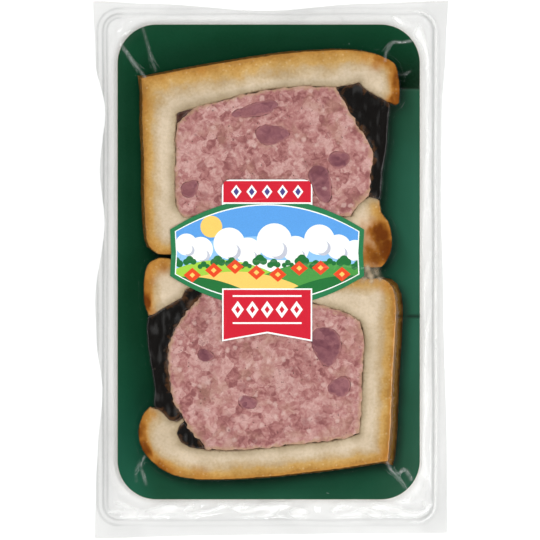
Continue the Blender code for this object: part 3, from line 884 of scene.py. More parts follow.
    def _jelly(self, node: str) -> bpy.types.Object:
        """A piece of jelly, its face faintly rippled."""
        shape = FineCopy(self.frame).build(node)
        shape.push(0.10 * noise_at(shape.points, 3.5, 10.0))
        thin = self.side is Side.UPPER and node.endswith("pocket")
        mesh = self._measured(shape.mesh, f"{self.side.value}_crust", f"{self.side.value}_forcemeat")
        return add_object(f"{node}_set", mesh, Slot.JELLY, [self.thin_jelly if thin else self.jelly], [node])


# Card


@dataclass
class Card:
    """The rounded green card, with a soft pressed edge."""

    frame: PackedFrame
    face: bpy.types.Material
    edge: bpy.types.Material
    round_over: float = 0.35
    back_rim: float = 6.0
    arc_steps: int = 20
    rings_inward: int = 14

    def outline(self, inset: float) -> list[tuple[float, float]]:
        """Returns the card's outline moved in by inset, as points round it."""
        low, high = self.frame.box("card")
        radius = max(CARD_CORNER - inset, 0.5)
        points = []
        for side_x, side_y, start in ((1, -1, -90), (1, 1, 0), (-1, 1, 90), (-1, -1, 180)):
            edge_x = (high if side_x > 0 else low)[0] - side_x * (inset + radius)
            edge_y = (high if side_y > 0 else low)[1] - side_y * (inset + radius)
            for i in range(self.arc_steps + 1):
                angle = math.radians(start + 90 * i / self.arc_steps)
                points.append((edge_x + radius * math.cos(angle), edge_y + radius * math.sin(angle)))
        return points

    def build(self) -> bpy.types.Object:
        """Builds the card as rings from its back, round its edge and in over its face."""
        low, high = self.frame.box("card")
        bottom, top = low[2], high[2]
        soft = self.round_over
        reach = (high[0] - low[0]) / 2 - 1.0
        profile = [(self.back_rim, bottom), (soft, bottom), (0.0, bottom + soft), (0.0, top - soft),
                   (0.1, top - 0.4 * soft)]
        edge_rings = len(profile) - 1
        profile += [(soft + reach * (i / self.rings_inward), top) for i in range(self.rings_inward)]
        shape = bmesh.new()
        rings = [[shape.verts.new((x * MM, y * MM, level * MM)) for x, y in self.outline(inset)]
                 for inset, level in profile]
        for number, (outer, inner) in enumerate(zip(rings, rings[1:])):
            for i in range(len(outer)):
                face = shape.faces.new((outer[i - 1], outer[i], inner[i], inner[i - 1]))
                face.material_index = 1 if number < edge_rings else 0
        shape.faces.new(rings[0][::-1]).material_index = 1
        shape.faces.new(rings[-1]).material_index = 0
        bmesh.ops.recalc_face_normals(shape, faces=shape.faces)
        mesh = mesh_from(shape, "card")
        mesh.shade_smooth()
        mesh.set_sharp_from_angle(angle=math.radians(40))
        return add_object("green_card", mesh, Slot.CARD, [self.face, self.edge], ["card"])


# Film


def beyond_rounded(x: np.ndarray, y: np.ndarray, middle: Sequence[float], half: Sequence[float],
                   corner: float) -> np.ndarray:
    """Measures places against a rectangle with rounded corners.

    Args:
        x: the places across.
        y: the places along.
        middle: the rectangle's middle.
        half: half its width and length.
        corner: its corners' radius.
    Returns:
        How far each place lies outside it, below 0 inside.
    """
    across = np.abs(x - middle[0]) - (half[0] - corner)
    along = np.abs(y - middle[1]) - (half[1] - corner)
    outside = np.hypot(np.maximum(across, 0.0), np.maximum(along, 0.0))
    return outside + np.minimum(np.maximum(across, along), 0.0) - corner


@dataclass
class Crease:
    """A narrow upright crease in the film: a line of (x, y, height above the table) and how it looks, with
    painted highlights and painted shade along it.
    """

    points: Sequence[tuple[float, float, float]]
    haze_and_highlight: float = 0.5
    width: float = 0.45
    shade: float = 0.0
    patchy: float = 1.0
    grease: float = 0.0

    def _curve(self) -> list[tuple[float, float, float]]:
        """Returns the line with its corners rounded off."""
        line = np.array(self.points)
        for _ in range(2):
            start, end = line[:-1], line[1:]
            cut = np.stack([0.75 * start + 0.25 * end, 0.25 * start + 0.75 * end], axis=1).reshape(-1, 3)
            line = np.concatenate([line[:1], cut, line[-1:]])
        return [tuple(place) for place in line.tolist()]

    def over(self, x: np.ndarray, y: np.ndarray) -> tuple[np.ndarray, np.ndarray]:
        """Returns the fold's height at each place, and the distance to its line."""
        best = np.full(x.shape, np.inf)
        height = np.zeros(x.shape)
        curve = self._curve()
        for (x0, y0, z0), (x1, y1, z1) in zip(curve, curve[1:]):
            along_x, along_y = x1 - x0, y1 - y0
            share = ((x - x0) * along_x + (y - y0) * along_y) / (along_x ** 2 + along_y ** 2)
            share = np.clip(share, 0.0, 1.0)
            away = np.hypot(x - x0 - share * along_x, y - y0 - share * along_y)
            closer = away < best
            best = np.where(closer, away, best)
            height = np.where(closer, z0 + share * (z1 - z0), height)
        return height - best ** 2 / self.width, best


@dataclass
class PouchFilm:
    """The clear bag: a front film drawn down over the slices and card by the vacuum, and a flat back film."""

    frame: PackedFrame
    material: bpy.types.Material
    creases: Sequence[Crease]
    spacing: float = 0.6
    edge_fade: float = 14.0
    lift: float = 0.06
    back_level: float = 0.05
    weld_level: float = 0.40
    shoulder: float = 5.5
    pull: float = 0.6
    pull_over_food: float = 0.015
    steepest: float = 3.0
    rounds: int = 210
    weld_middle: tuple[float, float] = (-1.1, 1.05)
    weld_half: tuple[float, float] = (69.7, 106.85)
    weld_corner: float = 7.0
    side_stretch: float = 5.0
    end_stretch: float = 2.2
    food_level: float = 9.0
    jelly_wrinkle: float = 0.16
    crease_reach: float = 2.0
    margin_fold: float = 0.53
    shadow_share: float = 1.7
    shadow_shift: tuple[int, int] = (-2, 2)
    shadow_rounds: int = 24
    painted_sheen_right: float = 0.010
    painted_sheen_low: float = 0.004

    def __post_init__(self) -> None:
        """Lays out the film's grid and measures it against the card and the weld."""
        self.card_low, self.card_high = self.frame.box("card")
        self.x, self.y = self._grid()
        middle, half = (self.card_low + self.card_high) / 2, (self.card_high - self.card_low) / 2
        self.past_side = np.abs(self.x - middle[0]) - half[0]
        self.past_end = np.abs(self.y - middle[1]) - half[1]
        self.beyond_card = beyond_rounded(self.x, self.y, middle, half, CARD_CORNER)
        self.beyond_weld = beyond_rounded(self.x, self.y, self.weld_middle, self.weld_half, self.weld_corner)

    def _sides(self) -> dict[str, tuple[np.ndarray, np.ndarray]]:
        """Returns each drawn-in side of the pouch as places along it and places across it, in order."""
        edge = self.frame.footprint("pouch")
        half = np.abs(edge).max(axis=0)
        share = edge / half
        upright = np.abs(share[:, 0]) >= np.abs(share[:, 1])
        sides = {}
        for name, chosen, along in (
            ("left", upright & (share[:, 0] < 0), 1), ("right", upright & (share[:, 0] > 0), 1),
            ("bottom", ~upright & (share[:, 1] < 0), 0), ("top", ~upright & (share[:, 1] > 0), 0),
        ):
            points = edge[chosen]
            order = np.argsort(points[:, along])
            sides[name] = (points[order, along], points[order, 1 - along])
        return sides

    def _grid(self) -> tuple[np.ndarray, np.ndarray]:
        """Returns the places of the film's points: an even grid whose edge follows the pouch's."""
        low, high = self.frame.box("pouch")
        columns = round((high[0] - low[0]) / self.spacing) + 1
        rows = round((high[1] - low[1]) / self.spacing) + 1
        x, y = np.meshgrid(np.linspace(low[0], high[0], columns), np.linspace(low[1], high[1], rows))
        sides = self._sides()

        def fade(distance: np.ndarray) -> np.ndarray:
            """Returns how much of the edge's shift is felt at this distance from it."""
            return np.clip(1 - distance / self.edge_fade, 0.0, 1.0) ** 2

        moved_x = x + (np.interp(y, *sides["left"]) - low[0]) * fade(x - low[0])
        moved_x += (np.interp(y, *sides["right"]) - high[0]) * fade(high[0] - x)
        moved_y = y + (np.interp(x, *sides["bottom"]) - low[1]) * fade(y - low[1])
        moved_y += (np.interp(x, *sides["top"]) - high[1]) * fade(high[1] - y)
        return moved_x, moved_y

    def _noise(self, size: float, seed: float, across: float = 1.0, along: float = 1.0) -> np.ndarray:
        """Returns noise over the grid, drawn out by these shares across and along the pouch."""
        flat = np.stack([self.x.ravel() / across, self.y.ravel() / along, np.zeros(self.x.size)], axis=1)
        return noise_at(flat, size, seed).reshape(self.x.shape)

    def _streaks(self, size: float, seed: float) -> np.ndarray:
        """Returns noise drawn out along the pouch's edges."""
        share = smooth_step(self.past_side - self.past_end, -6.0, 6.0)
        upright = self._noise(size, seed, along=self.side_stretch)
        return share * upright + (1 - share) * self._noise(size, seed, across=self.end_stretch)

    def _contents(self, pieces: Sequence[bpy.types.Object]) -> np.ndarray:
        """Returns the height of the pieces under each point, or 0 where there is none."""
        height = np.zeros(self.x.shape)
        above, down = 0.05, Vector((0.0, 0.0, -1.0))
        for piece in pieces:
            tree = BVHTree.FromObject(piece, bpy.context.evaluated_depsgraph_get())
            points = vertices_of(piece.data)
            low, high = points.min(axis=0), points.max(axis=0)
            inside = (self.x > low[0]) & (self.x < high[0]) & (self.y > low[1]) & (self.y < high[1])
            for row, column in zip(*np.nonzero(inside)):
                start = Vector((self.x[row, column] * MM, self.y[row, column] * MM, above))
                hit = tree.ray_cast(start, down)[0]
                if hit is not None:
                    height[row, column] = max(height[row, column], hit.z / MM)
        return height

    def _crumple(self) -> np.ndarray:
        """Returns how crumpled the channel round the card is, most at the bottom and upper right."""
        low, high = self.card_low, self.card_high
        bottom = smooth_step(low[1] + 4 - self.y, 0.0, 8.0)
        right = 0.45 * smooth_step(self.x - (high[0] - 2), 0.0, 4.0)
        upper_right = smooth_step(-np.hypot(self.x - high[0], self.y - high[1]), -26.0, -12.0)
        return np.maximum.reduce([np.full(self.x.shape, 0.25), bottom, right, upper_right])

    def _margin(self) -> tuple[np.ndarray, np.ndarray, np.ndarray]:
        """Returns the film's height round the card, with its weld and crumples, its milkiness with painted
        highlights, and its painted shade.
        """
        broad = self._streaks(11.0, 12.0)
        sharp = 1 - 2 * np.abs(self._streaks(6.0, 13.0))
        fine = self._streaks(3.0, 14.0)
        beyond = self.beyond_card
        weld = self.beyond_weld + 0.5 * broad
        crumple = self._crumple() * smooth_step(beyond, 0.0, 3.0) * smooth_step(-weld, 0.0, 2.0)
        at_left = smooth_step(-self.x, 60.0, 66.0)

        def ridge(place: float, width: float = 0.4) -> np.ndarray:
            """Returns a ridge that runs this far outside the inner line of the weld."""
            return np.exp(-((weld - place) / width) ** 2)

        seam, inner, outer = ridge(0.0), ridge(-1.7) * at_left, ridge(2.4) * (0.3 + 0.7 * at_left)
        share = np.clip(beyond / self.shoulder, 0.0, 1.0)
        fall = (1 - share) ** 2 * (1 + 2 * share)
        drop = self.card_high[2] + self.lift - self.weld_level
        height = self.weld_level + drop * fall * (1 + 0.15 * broad)
        height += crumple * (0.85 * sharp + 0.6 * broad + 0.22 * fine + 0.35)
        height += 0.22 * seam + 0.18 * outer + 0.18 * inner + 0.20 * broad * smooth_step(beyond, 3.0, 8.0)
        # Faint real milkiness over the margin, then painted highlights on the crumples and a painted bright
        # streak near the right weld
        haze_and_highlight = 0.02 * smooth_step(beyond, -0.5, 2.0) + 0.02 * smooth_step(weld, 0.0, 2.0)
        haze_and_highlight += 0.45 * crumple * smooth_step(sharp + 0.4 * broad, 0.5, 1.0)
        haze_and_highlight += 0.45 * ridge(1.1, 0.45) * smooth_step(self.x, 55.0, 66.0)
        # Painted shade: a grey band at the right, dark lines along the weld and its ridges, and dark streaks
        # on the crumples
        beside = np.maximum(at_left, 0.75 * smooth_step(self.x, 60.0, 66.0))
        fold_and_shade = 0.05 + 0.12 * smooth_step(self.x, 62.0, 66.0) + 0.10 * smooth_step(broad, 0.0, 0.5)
        fold_and_shade += (0.35 + 0.5 * beside) * seam + 0.6 * outer + 0.7 * inner
        fold_and_shade += 0.45 * crumple * smooth_step(-sharp, 0.2, 0.7)
        return np.maximum(height, self.back_level + 0.2), haze_and_highlight, self.margin_fold * fold_and_shade

    def _relaxed(self, floor: np.ndarray) -> np.ndarray:
        """Returns the film's height: pulled down by the vacuum and held up by what is under it."""
        height = widened(floor)
        for _ in range(8):
            for axis in (0, 1):
                near = np.maximum(np.roll(height, 1, axis), np.roll(height, -1, axis))
                height = np.maximum(height, near - self.steepest * self.spacing)
        ground = np.maximum(floor, 0.0)
        pull = np.where(floor > self.food_level, self.pull_over_food, self.pull)
        for _ in range(self.rounds):
            height = np.maximum(ground, blurred(height) - pull)
        return height

    def build(self, contents: Sequence[bpy.types.Object]) -> FilmSurface:
        """Builds the bag.

        Args:
            contents: the pieces that the film is drawn down over, of which the jelly leaves it wrinkled.
        Returns:
            The front surface, for what lies on it.
        """
        margin, haze_and_highlight, fold_and_shade = self._margin()
        inside = self._contents(contents)
        on_jelly = self._contents([p for p in contents if p.name.endswith("_set")]) > inside - 0.05
        wrinkles = self._noise(1.7, 20.0, along=1 / 0.3)
        floor = np.where(self.beyond_card < 0.0, widened(inside) + self.lift, margin)
        wrinkled = self.jelly_wrinkle * (1.0 + 2.0 * wrinkles)
        floor += np.where(on_jelly & (inside > self.food_level), wrinkled, 0.0)
        glint = 0.022 * np.where(on_jelly, smooth_step(wrinkles, 0.1, 0.6), 0.0)
        haze_and_highlight = np.maximum(haze_and_highlight * (0.95 + 0.6 * self._noise(7.0, 21.0)), glint)
        grease = np.zeros(self.x.shape)
        uneven = np.clip(0.75 + 1.1 * self._noise(1.6, 18.0), 0.15, 1.3)
        for crease in self.creases:
            raised, away = crease.over(self.x, self.y)
            floor = np.maximum(floor, np.where(away < self.crease_reach, raised, 0.0))
            streak = np.exp(-(away / crease.width) ** 2) * (1.0 + crease.patchy * (uneven - 1.0))
            haze_and_highlight = np.maximum(haze_and_highlight, crease.haze_and_highlight * streak)
            fold_and_shade = np.maximum(fold_and_shade, crease.shade * streak)
            near = smooth_step(-away, -2.5 * crease.width, -crease.width)
            grease = np.maximum(grease, crease.grease * near)
        height = self._relaxed(floor)
        haze_and_highlight += self._sheen_over_card(height, inside)
        shaded, calm = self._beside_food(inside)
        mesh = self._closed_mesh(self.x, self.y, height)
        # One measure carries painted shade along folds and painted shadow beside the slices, another the
        # milkiness with its painted highlights
        looks = {"haze_and_highlight": haze_and_highlight, "fold_and_shade": np.maximum(fold_and_shade, shaded), "calm": calm, "grease": grease}
        for name, values in looks.items():
            rest = np.zeros(len(mesh.vertices) - values.size)
            set_measure(mesh, name, np.clip(np.concatenate([values.ravel(), rest]), 0.0, 0.995))
        add_object("pouch_film", mesh, Slot.FILM, [self.material], ["pouch"])
        return FilmSurface(self.x, self.y, height)

    def _sheen_over_card(self, height: np.ndarray, inside: np.ndarray) -> np.ndarray:
        """Returns painted sheen over the card: at its right, lower down and where the film bends."""
        painted_sheen = self.painted_sheen_right * smooth_step(self.x, 38.0, 62.0) * smooth_step(-self.y, *CARD_BEND)
        painted_sheen += self.painted_sheen_low * smooth_step(-self.y, 60.0, 95.0)
        bend = 4 * (height - blurred(height))
        painted_sheen = painted_sheen * smooth_step(-inside, -4.0, -2.5) + 0.001 + 0.006 * smooth_step(bend, 0.3, 2.0)
        return smooth_step(-self.beyond_card, 0.0, 1.5) * painted_sheen

    def _beside_food(self, inside: np.ndarray) -> tuple[np.ndarray, np.ndarray]:
        """Returns how shaded the film is beside the slices, and how little it shines there."""
        standing = (inside > 5.0).astype(float)
        beside = blurred(standing, 9)
        wide = blurred(beside, 14)
        shadow = blurred(np.roll(standing, self.shadow_shift, axis=(0, 1)), self.shadow_rounds)
        shaded = self.shadow_share * np.maximum(shadow, 0.6 * beside) * (1.0 - standing)
        return shaded, np.where(standing > 0, 4.8 * beside * (1.0 - beside), 6.0 * wide)

    def _closed_mesh(self, x: np.ndarray, y: np.ndarray, height: np.ndarray) -> bpy.types.Mesh:
        """Returns the bag as one closed mesh: front, rim, and a back with fewer points."""
        rows, columns = x.shape
        number = np.arange(rows * columns).reshape(rows, columns)
        front = np.stack([number[:-1, :-1], number[:-1, 1:], number[1:, 1:], number[1:, :-1]], axis=-1)
        rim = np.concatenate([number[0, :-1], number[:-1, -1], number[-1, :0:-1], number[:0:-1, 0]])
        count = len(rim)
        first = number.size
        around = np.arange(count)
        after = (around + 1) % count
        sides = np.stack([rim[after], rim[around], first + around, first + after], axis=-1)
        edge = np.stack([x.ravel()[rim], y.ravel()[rim], np.full(count, self.back_level)], axis=1)
        points = [np.stack([x.ravel(), y.ravel(), height.ravel()], axis=1), edge]
        mesh = bpy.data.meshes.new("pouch_film")
        faces = front.reshape(-1, 4).tolist() + sides.tolist()
        faces.append((first + around)[::-1].tolist())
        mesh.from_pydata(np.concatenate(points) * MM, [], faces)
        mesh.validate()
        mesh.shade_smooth()
        mesh.set_sharp_from_angle(angle=math.radians(60))
        return mesh


@dataclass
class FilmSurface:
    """The film's front, read at any place."""

    x: np.ndarray
    y: np.ndarray
    height: np.ndarray

    def level(self, x: float, y: float) -> float:
        """Returns the film's height at the nearest of its points."""
        column = int(np.abs(self.x[self.x.shape[0] // 2] - x).argmin())
        row = int(np.abs(self.y[:, self.y.shape[1] // 2] - y).argmin())
        return float(self.height[row, column])


# Label


@dataclass
class Label:
    """The printed label: a barrel shape with a crest and a ribbon, and a plain country scene of our own."""

    frame: PackedFrame
    effects: SharedEffects
    surface: FilmSurface
    stand_off: float = 0.22
    most_below: float = 0.35
    thickness: float = 0.15
    top_to_middle: float = 30.8
    side: float = 19.5
    bulge: float = 13.1
    crest_width: float = 38.1
    crest_foot: float = 20.6
    ribbon_width: float = 37.9
    ribbon_top: float = -15.0
    notch: float = 3.4
    border: float = 2.0
    line: float = 0.45
    rim: float = 0.6
    bend_step: float = 3.0

    def __post_init__(self) -> None:
        """Reads the label's size and place from its solid."""
        low, high = self.frame.box("label")
        self.half = (high[0] - low[0]) / 2
        self.bottom, self.top, self.level = low[1], high[1], low[2]
        self.middle = np.array([(low[0] + high[0]) / 2, high[1] - self.top_to_middle])
        self.across = self.middle * (1.0, 0.0)

    def _barrel(self, inset: float) -> np.ndarray:
        """Returns the barrel's outline moved in by inset."""
        half = self.half - inset
        xs = np.linspace(half, -half, 31)
        curve = self.side / 2 - 0.35 * inset + (self.bulge - 0.85 * inset) * (1 - (xs / half) ** 2)
        upper = np.stack([xs, curve], axis=1)
        waist = np.array([[-(half - 0.5), 0.0]])
        return np.concatenate([upper, waist, -upper, -waist]) + self.middle

    def _box(self, x0: float, y0: float, x1: float, y1: float) -> np.ndarray:
        """Returns a rectangle round the label's middle line, by its corners."""
        return np.array([(x0, y0), (x1, y0), (x1, y1), (x0, y1)]) + self.across

    def _lozenge(self, x: float, y: float, across: float, up: float) -> np.ndarray:
        """Returns a lozenge round a place measured from the label's middle line."""
        return np.array([(x - across, y), (x, y - up), (x + across, y), (x, y + up)]) + self.across

    def _disc(self, x: float, y: float, radius: float, sides: int = 28) -> np.ndarray:
        """Returns a circle on the label, from its middle."""
        turn = np.arange(sides) * 2 * math.pi / sides
        return np.stack([x + radius * np.cos(turn), y + radius * np.sin(turn)], axis=1) + self.middle

    def _hill(self, start: float, end: float, foot: float, rise: float) -> np.ndarray:
        """Returns a low round hill between two places across the label."""
        xs = np.linspace(start, end, 25)
        top = foot + rise * np.sin(np.linspace(0, math.pi, 25)) ** 0.8
        base = np.array([(end, -40.0), (start, -40.0)])
        return np.concatenate([np.stack([xs, top], axis=1), base]) + self.middle

    def _picture(self) -> Iterator[tuple[Ink, np.ndarray]]:
        """Yields the fields of the barrel's picture, from the back to the front."""
        yield Ink.PALE_SKY, self._hill(-60, 60, -6.0, 13.0)
        yield Ink.YELLOW, self._disc(-23.5, 11.0, 4.6)
        clouds = ((-34, 3.5, 4.6), (-28, 1.5, 5.2), (-16, 4.0, 6.6), (-8, 1.0, 5.4), (3, 5.0, 7.4),
                  (12, 1.5, 5.6), (22, 5.5, 6.4), (30, 2.5, 5.2), (37, 1.0, 4.4))
        for x, y, radius in clouds:
            yield Ink.WHITE, self._disc(x, y, radius)
        for x, y, radius in clouds:
            yield Ink.GREY, self._disc(x + 0.25 * radius, y - 0.55 * radius, 0.5 * radius, 18)
            yield Ink.WHITE, self._disc(x + 0.05 * radius, y - 0.40 * radius, 0.5 * radius, 18)
        yield Ink.WHITE, self._hill(-45, 45, -9.0, 6.0)
        yield Ink.LIME, self._hill(-48, 8, -12.0, 9.0)
        yield Ink.MID_GREEN, self._hill(-6, 54, -12.0, 8.5)
        for i in range(14):
            x = -38.5 + 5.9 * i
            y = -4.2 + 1.1 * math.sin(2.3 * i)
            for across, up, radius in ((-1.5, -0.5, 1.5), (0.0, 0.5, 1.8), (1.6, -0.4, 1.4)):
                yield Ink.DEEP_GREEN, self._disc(x + across, y + up, radius * (1.1 - 0.2 * (i % 3)), 14)
        yield Ink.YELLOW, self._hill(-40, 14, -14.5, 6.6)
        yield Ink.DEEP_GREEN, self._hill(-64, -4, -19.0, 9.0)
        yield Ink.DEEP_GREEN, self._hill(4, 66, -19.0, 9.5)
        for i in range(8):
            x = -31.5 + 9.0 * i
            y = self.middle[1] - 7.6 - 1.8 * math.cos(1.7 * i)
            yield Ink.ORANGE_RED, self._lozenge(x, y, 3.7, 3.1)
            yield Ink.YELLOW, self._lozenge(x, y, 1.2, 1.1)

    def _bands(self) -> Iterator[tuple[Ink, np.ndarray]]:
        """Yields the fields of the crest and of the ribbon, from the back to the front."""
        half, foot, rim = self.crest_width / 2, self.middle[1] + self.crest_foot, self.rim
        yield Ink.WHITE, self._box(-half, foot, half, self.top + 0.1)
        yield Ink.RED, self._box(rim - half, foot + rim, half - rim, self.top - rim)
        for i in range(5):
            for ink, across, up in ((Ink.WHITE, 2.2, 2.9), (Ink.VIOLET, 1.2, 1.7)):
                yield ink, self._lozenge(-13.0 + 6.5 * i, (foot + self.top) / 2, across, up)
        half, top, bottom = self.ribbon_width / 2, self.middle[1] + self.ribbon_top, self.bottom
        for ink, rim, raised in ((Ink.WHITE, 0.0, 0.0), (Ink.RED, self.rim, 0.75)):
            side, head, foot = half - rim, top - rim, bottom + raised
            tip = bottom + self.notch + (0.7 if rim else 0.0)
            corners = ((-side, head), (-side, foot), (0.0, tip), (side, foot), (side, head))
            yield ink, np.array(corners) + self.across
        for level in (3.2, 14.6):
            yield Ink.WHITE, self._box(-14.5, top - level - 0.35, 14.5, top - level + 0.35)
        for i in range(5):
            for ink, across, up in ((Ink.WHITE, 2.6, 3.6), (Ink.RED, 1.1, 1.6)):
                yield ink, self._lozenge(-12.4 + 6.2 * i, top - 8.9, across, up)

    def _fields(self) -> Iterator[tuple[Ink, np.ndarray, np.ndarray | None]]:
        """Yields every printed field from the back to the front, with the outline that clips it or None."""
        inner = self._barrel(self.border + self.line)
        yield Ink.BORDER_GREEN, self._barrel(-0.1), None
        yield Ink.WHITE, self._barrel(self.border), None
        yield Ink.SKY, inner, None
        yield from ((ink, shape, inner) for ink, shape in self._picture())
        yield from ((ink, shape, None) for ink, shape in self._bands())

    def _divided(self) -> tuple[np.ndarray, list[list[int]], list[Ink]]:
        """Divides the label by its printed fields.

        Returns:
            The points, the faces that lie on the label, and each face's ink.
        """
        fields = list(self._fields())
        outline = self.frame.footprint("label")
        points: list[Vector] = []
        edges: list[tuple[int, int]] = []
        for shape in (outline, *(shape for _, shape, _ in fields)):
            first = len(points)
            points += [Vector(p) for p in shape]
            edges += [(first + i, first + (i + 1) % len(shape)) for i in range(len(shape))]
        low, high = outline.min(axis=0), outline.max(axis=0)
        for x in np.arange(low[0], high[0], self.bend_step):
            points += [Vector((x, y)) for y in np.arange(low[1], high[1], self.bend_step)]
        made, _, faces, _, _, _ = delaunay_2d_cdt(points, edges, [], 0, 1e-5)
        plan = np.array([tuple(p) for p in made])
        centres = np.array([plan[list(f)].mean(axis=0) for f in faces])
        inks = np.full(len(faces), Ink.WHITE, dtype=object)
        for ink, shape, clip in fields:
            covered = within(centres, shape)
            inks[covered if clip is None else covered & within(centres, clip)] = ink
        kept = np.nonzero(within(centres, outline))[0]
        return plan, [faces[i] for i in kept], [inks[i] for i in kept]

    def build(self) -> bpy.types.Object:
        """Builds the label as one thin sheet, divided into its printed fields."""
        plan, faces, printed = self._divided()
        inks = list(Ink)
        shape = bmesh.new()
        verts = [shape.verts.new((x * MM, y * MM, self._height(x, y) * MM)) for x, y in plan]
        for face, ink in zip(faces, printed):
            shape.faces.new([verts[i] for i in face]).material_index = inks.index(ink)
        bmesh.ops.delete(shape, geom=[v for v in shape.verts if not v.link_faces], context="VERTS")
        bmesh.ops.recalc_face_normals(shape, faces=shape.faces)
        lowered = bmesh.ops.extrude_face_region(shape, geom=shape.faces[:], use_keep_orig=True)
        for item in lowered["geom"]:
            if isinstance(item, bmesh.types.BMVert):
                item.co.z -= self.thickness * MM
            elif isinstance(item, bmesh.types.BMFace):
                item.material_index = inks.index(Ink.WHITE)
        bmesh.ops.recalc_face_normals(shape, faces=shape.faces)
        mesh = mesh_from(shape, "printed_label")
        materials = [InkFinish(self.effects, ink).material() for ink in inks]
        return add_object("printed_label", mesh, Slot.LABEL, materials, ["label"])

    def _height(self, x: float, y: float) -> float:
        """Returns the label's height where it lies on the film, never far below its solid."""
        return max(self.surface.level(x, y) + self.stand_off, self.level - self.most_below) + self.thickness


def within(points: np.ndarray, outline: np.ndarray) -> np.ndarray:
    """Returns for each point whether it is inside the closed outline."""
    odd = np.zeros(len(points), dtype=bool)
    x, y = points[:, 0], points[:, 1]
    for (ax, ay), (bx, by) in zip(outline, np.roll(outline, -1, axis=0)):
        if ay == by:
            continue
        crosses = (ay > y) != (by > y)
        odd ^= crosses & (x < ax + (y - ay) * (bx - ax) / (by - ay))
    return odd


# Studio


@dataclass(frozen=True)
class Lamp:
    """A square area lamp that points at the pack, in metres and watts."""

    name: str
    place: tuple[float, float, float]
    size: float
    power: float

    def build(self) -> None:
        """Adds the lamp."""
        data = bpy.data.lights.new(self.name, "AREA")
        data.size = self.size
        data.energy = self.power
        lamp = place_new(self.name, data)
        lamp.location = self.place
        lamp.rotation_euler = (-Vector(self.place)).to_track_quat("-Z", "Y").to_euler()


@dataclass
class Studio:
    """Plain floor, soft light from all round and a camera straight above the pack."""

    lens: float = 600.0
    sensor: float = 36.0
    frame_side: float = 228.15
    aim: tuple[float, float] = (-0.25, -0.2)
    floor_side: float = 6.0
    floor_drop: float = 0.00002
    floor_white: Colour = (0.96, 0.96, 0.96)
    sky: Sequence[tuple[float, float]] = ((0.0, 0.96), (0.50, 1.31), (0.74, 1.25), (0.90, 0.10), (1.0, 0.03))
    sky_strength: float = 1.16
    lean_right: float = 0.45
    lean_down: float = 0.25
    lamps: Sequence[Lamp] = (
        Lamp("key", (-0.75, 0.75, 1.5), 0.35, 6.0),
        Lamp("side", (0.42, -0.12, 0.5), 0.25, 0.75),
        Lamp("low", (0.1, -1.2, 1.2), 0.3, 3.0),
    )

    def build(self) -> None:
        """Builds the floor, the light and the camera."""
        self._floor()
        self._sky()
        for lamp in self.lamps:
            lamp.build()
        self._camera()

    def _floor(self) -> None:
        """Lays a plain white floor under the pack."""
        shape = bmesh.new()
        bmesh.ops.create_grid(shape, x_segments=1, y_segments=1, size=self.floor_side / 2)
        mesh = mesh_from(shape, "floor")
        floor = place_new("floor", mesh)
        floor.location.z = -self.floor_drop
        coat = Coat.start("white_floor")
        coat.join(coat.shader, {"Base Color": self.floor_white, "Roughness": 0.9, "Specular IOR Level": 0.0})
        mesh.materials.append(coat.material)

    def _sky(self) -> None:
        """Surrounds the pack with light: dim straight above, so flat film stays clear, and bright lower."""
        world = bpy.data.worlds.new("studio")
        bpy.context.scene.world = world
        world.use_nodes = True
        graph = Graph(world.node_tree)
        right = graph.node("SeparateXYZ", {0: graph.node("TexCoord", {}, "Generated")})
        glow = graph.ramp(right.output("Z"), [(place, (grey, grey, grey)) for place, grey in self.sky])
        lean = right * self.lean_right - right.output("Y") * self.lean_down
        strength = (lean + 1.0) * self.sky_strength
        graph.join(world.node_tree.nodes["Background"], {"Color": glow, "Strength": strength})

    def _camera(self) -> None:
        """Puts the camera straight above, with the pack's top at the top of the picture."""
        data = bpy.data.cameras.new("camera")
        data.lens = self.lens
        data.sensor_width = self.sensor
        distance = self.frame_side * self.lens / self.sensor
        data.clip_end = 3 * distance * MM
        camera = place_new("camera", data)
        camera.location = (self.aim[0] * MM, self.aim[1] * MM, distance * MM)
        bpy.context.scene.camera = camera
        view = bpy.context.scene.view_settings
        view.view_transform = "Standard"
        view.look = "None"


# The greasy web of film between the slices
WEB = (
    Crease([(37.4, 0.4, 12.9), (39.0, -3.8, 12.6)], 0.62, 1.7, patchy=0.5, grease=1.0),
    Crease([(40.6, 0.6, 12.8), (42.6, -4.4, 12.2)], 0.66, 1.6, patchy=0.6, grease=1.0),
    Crease([(43.8, 0.8, 12.2), (46.4, -4.8, 10.8)], 0.40, 1.2, patchy=0.8, grease=1.0),
)
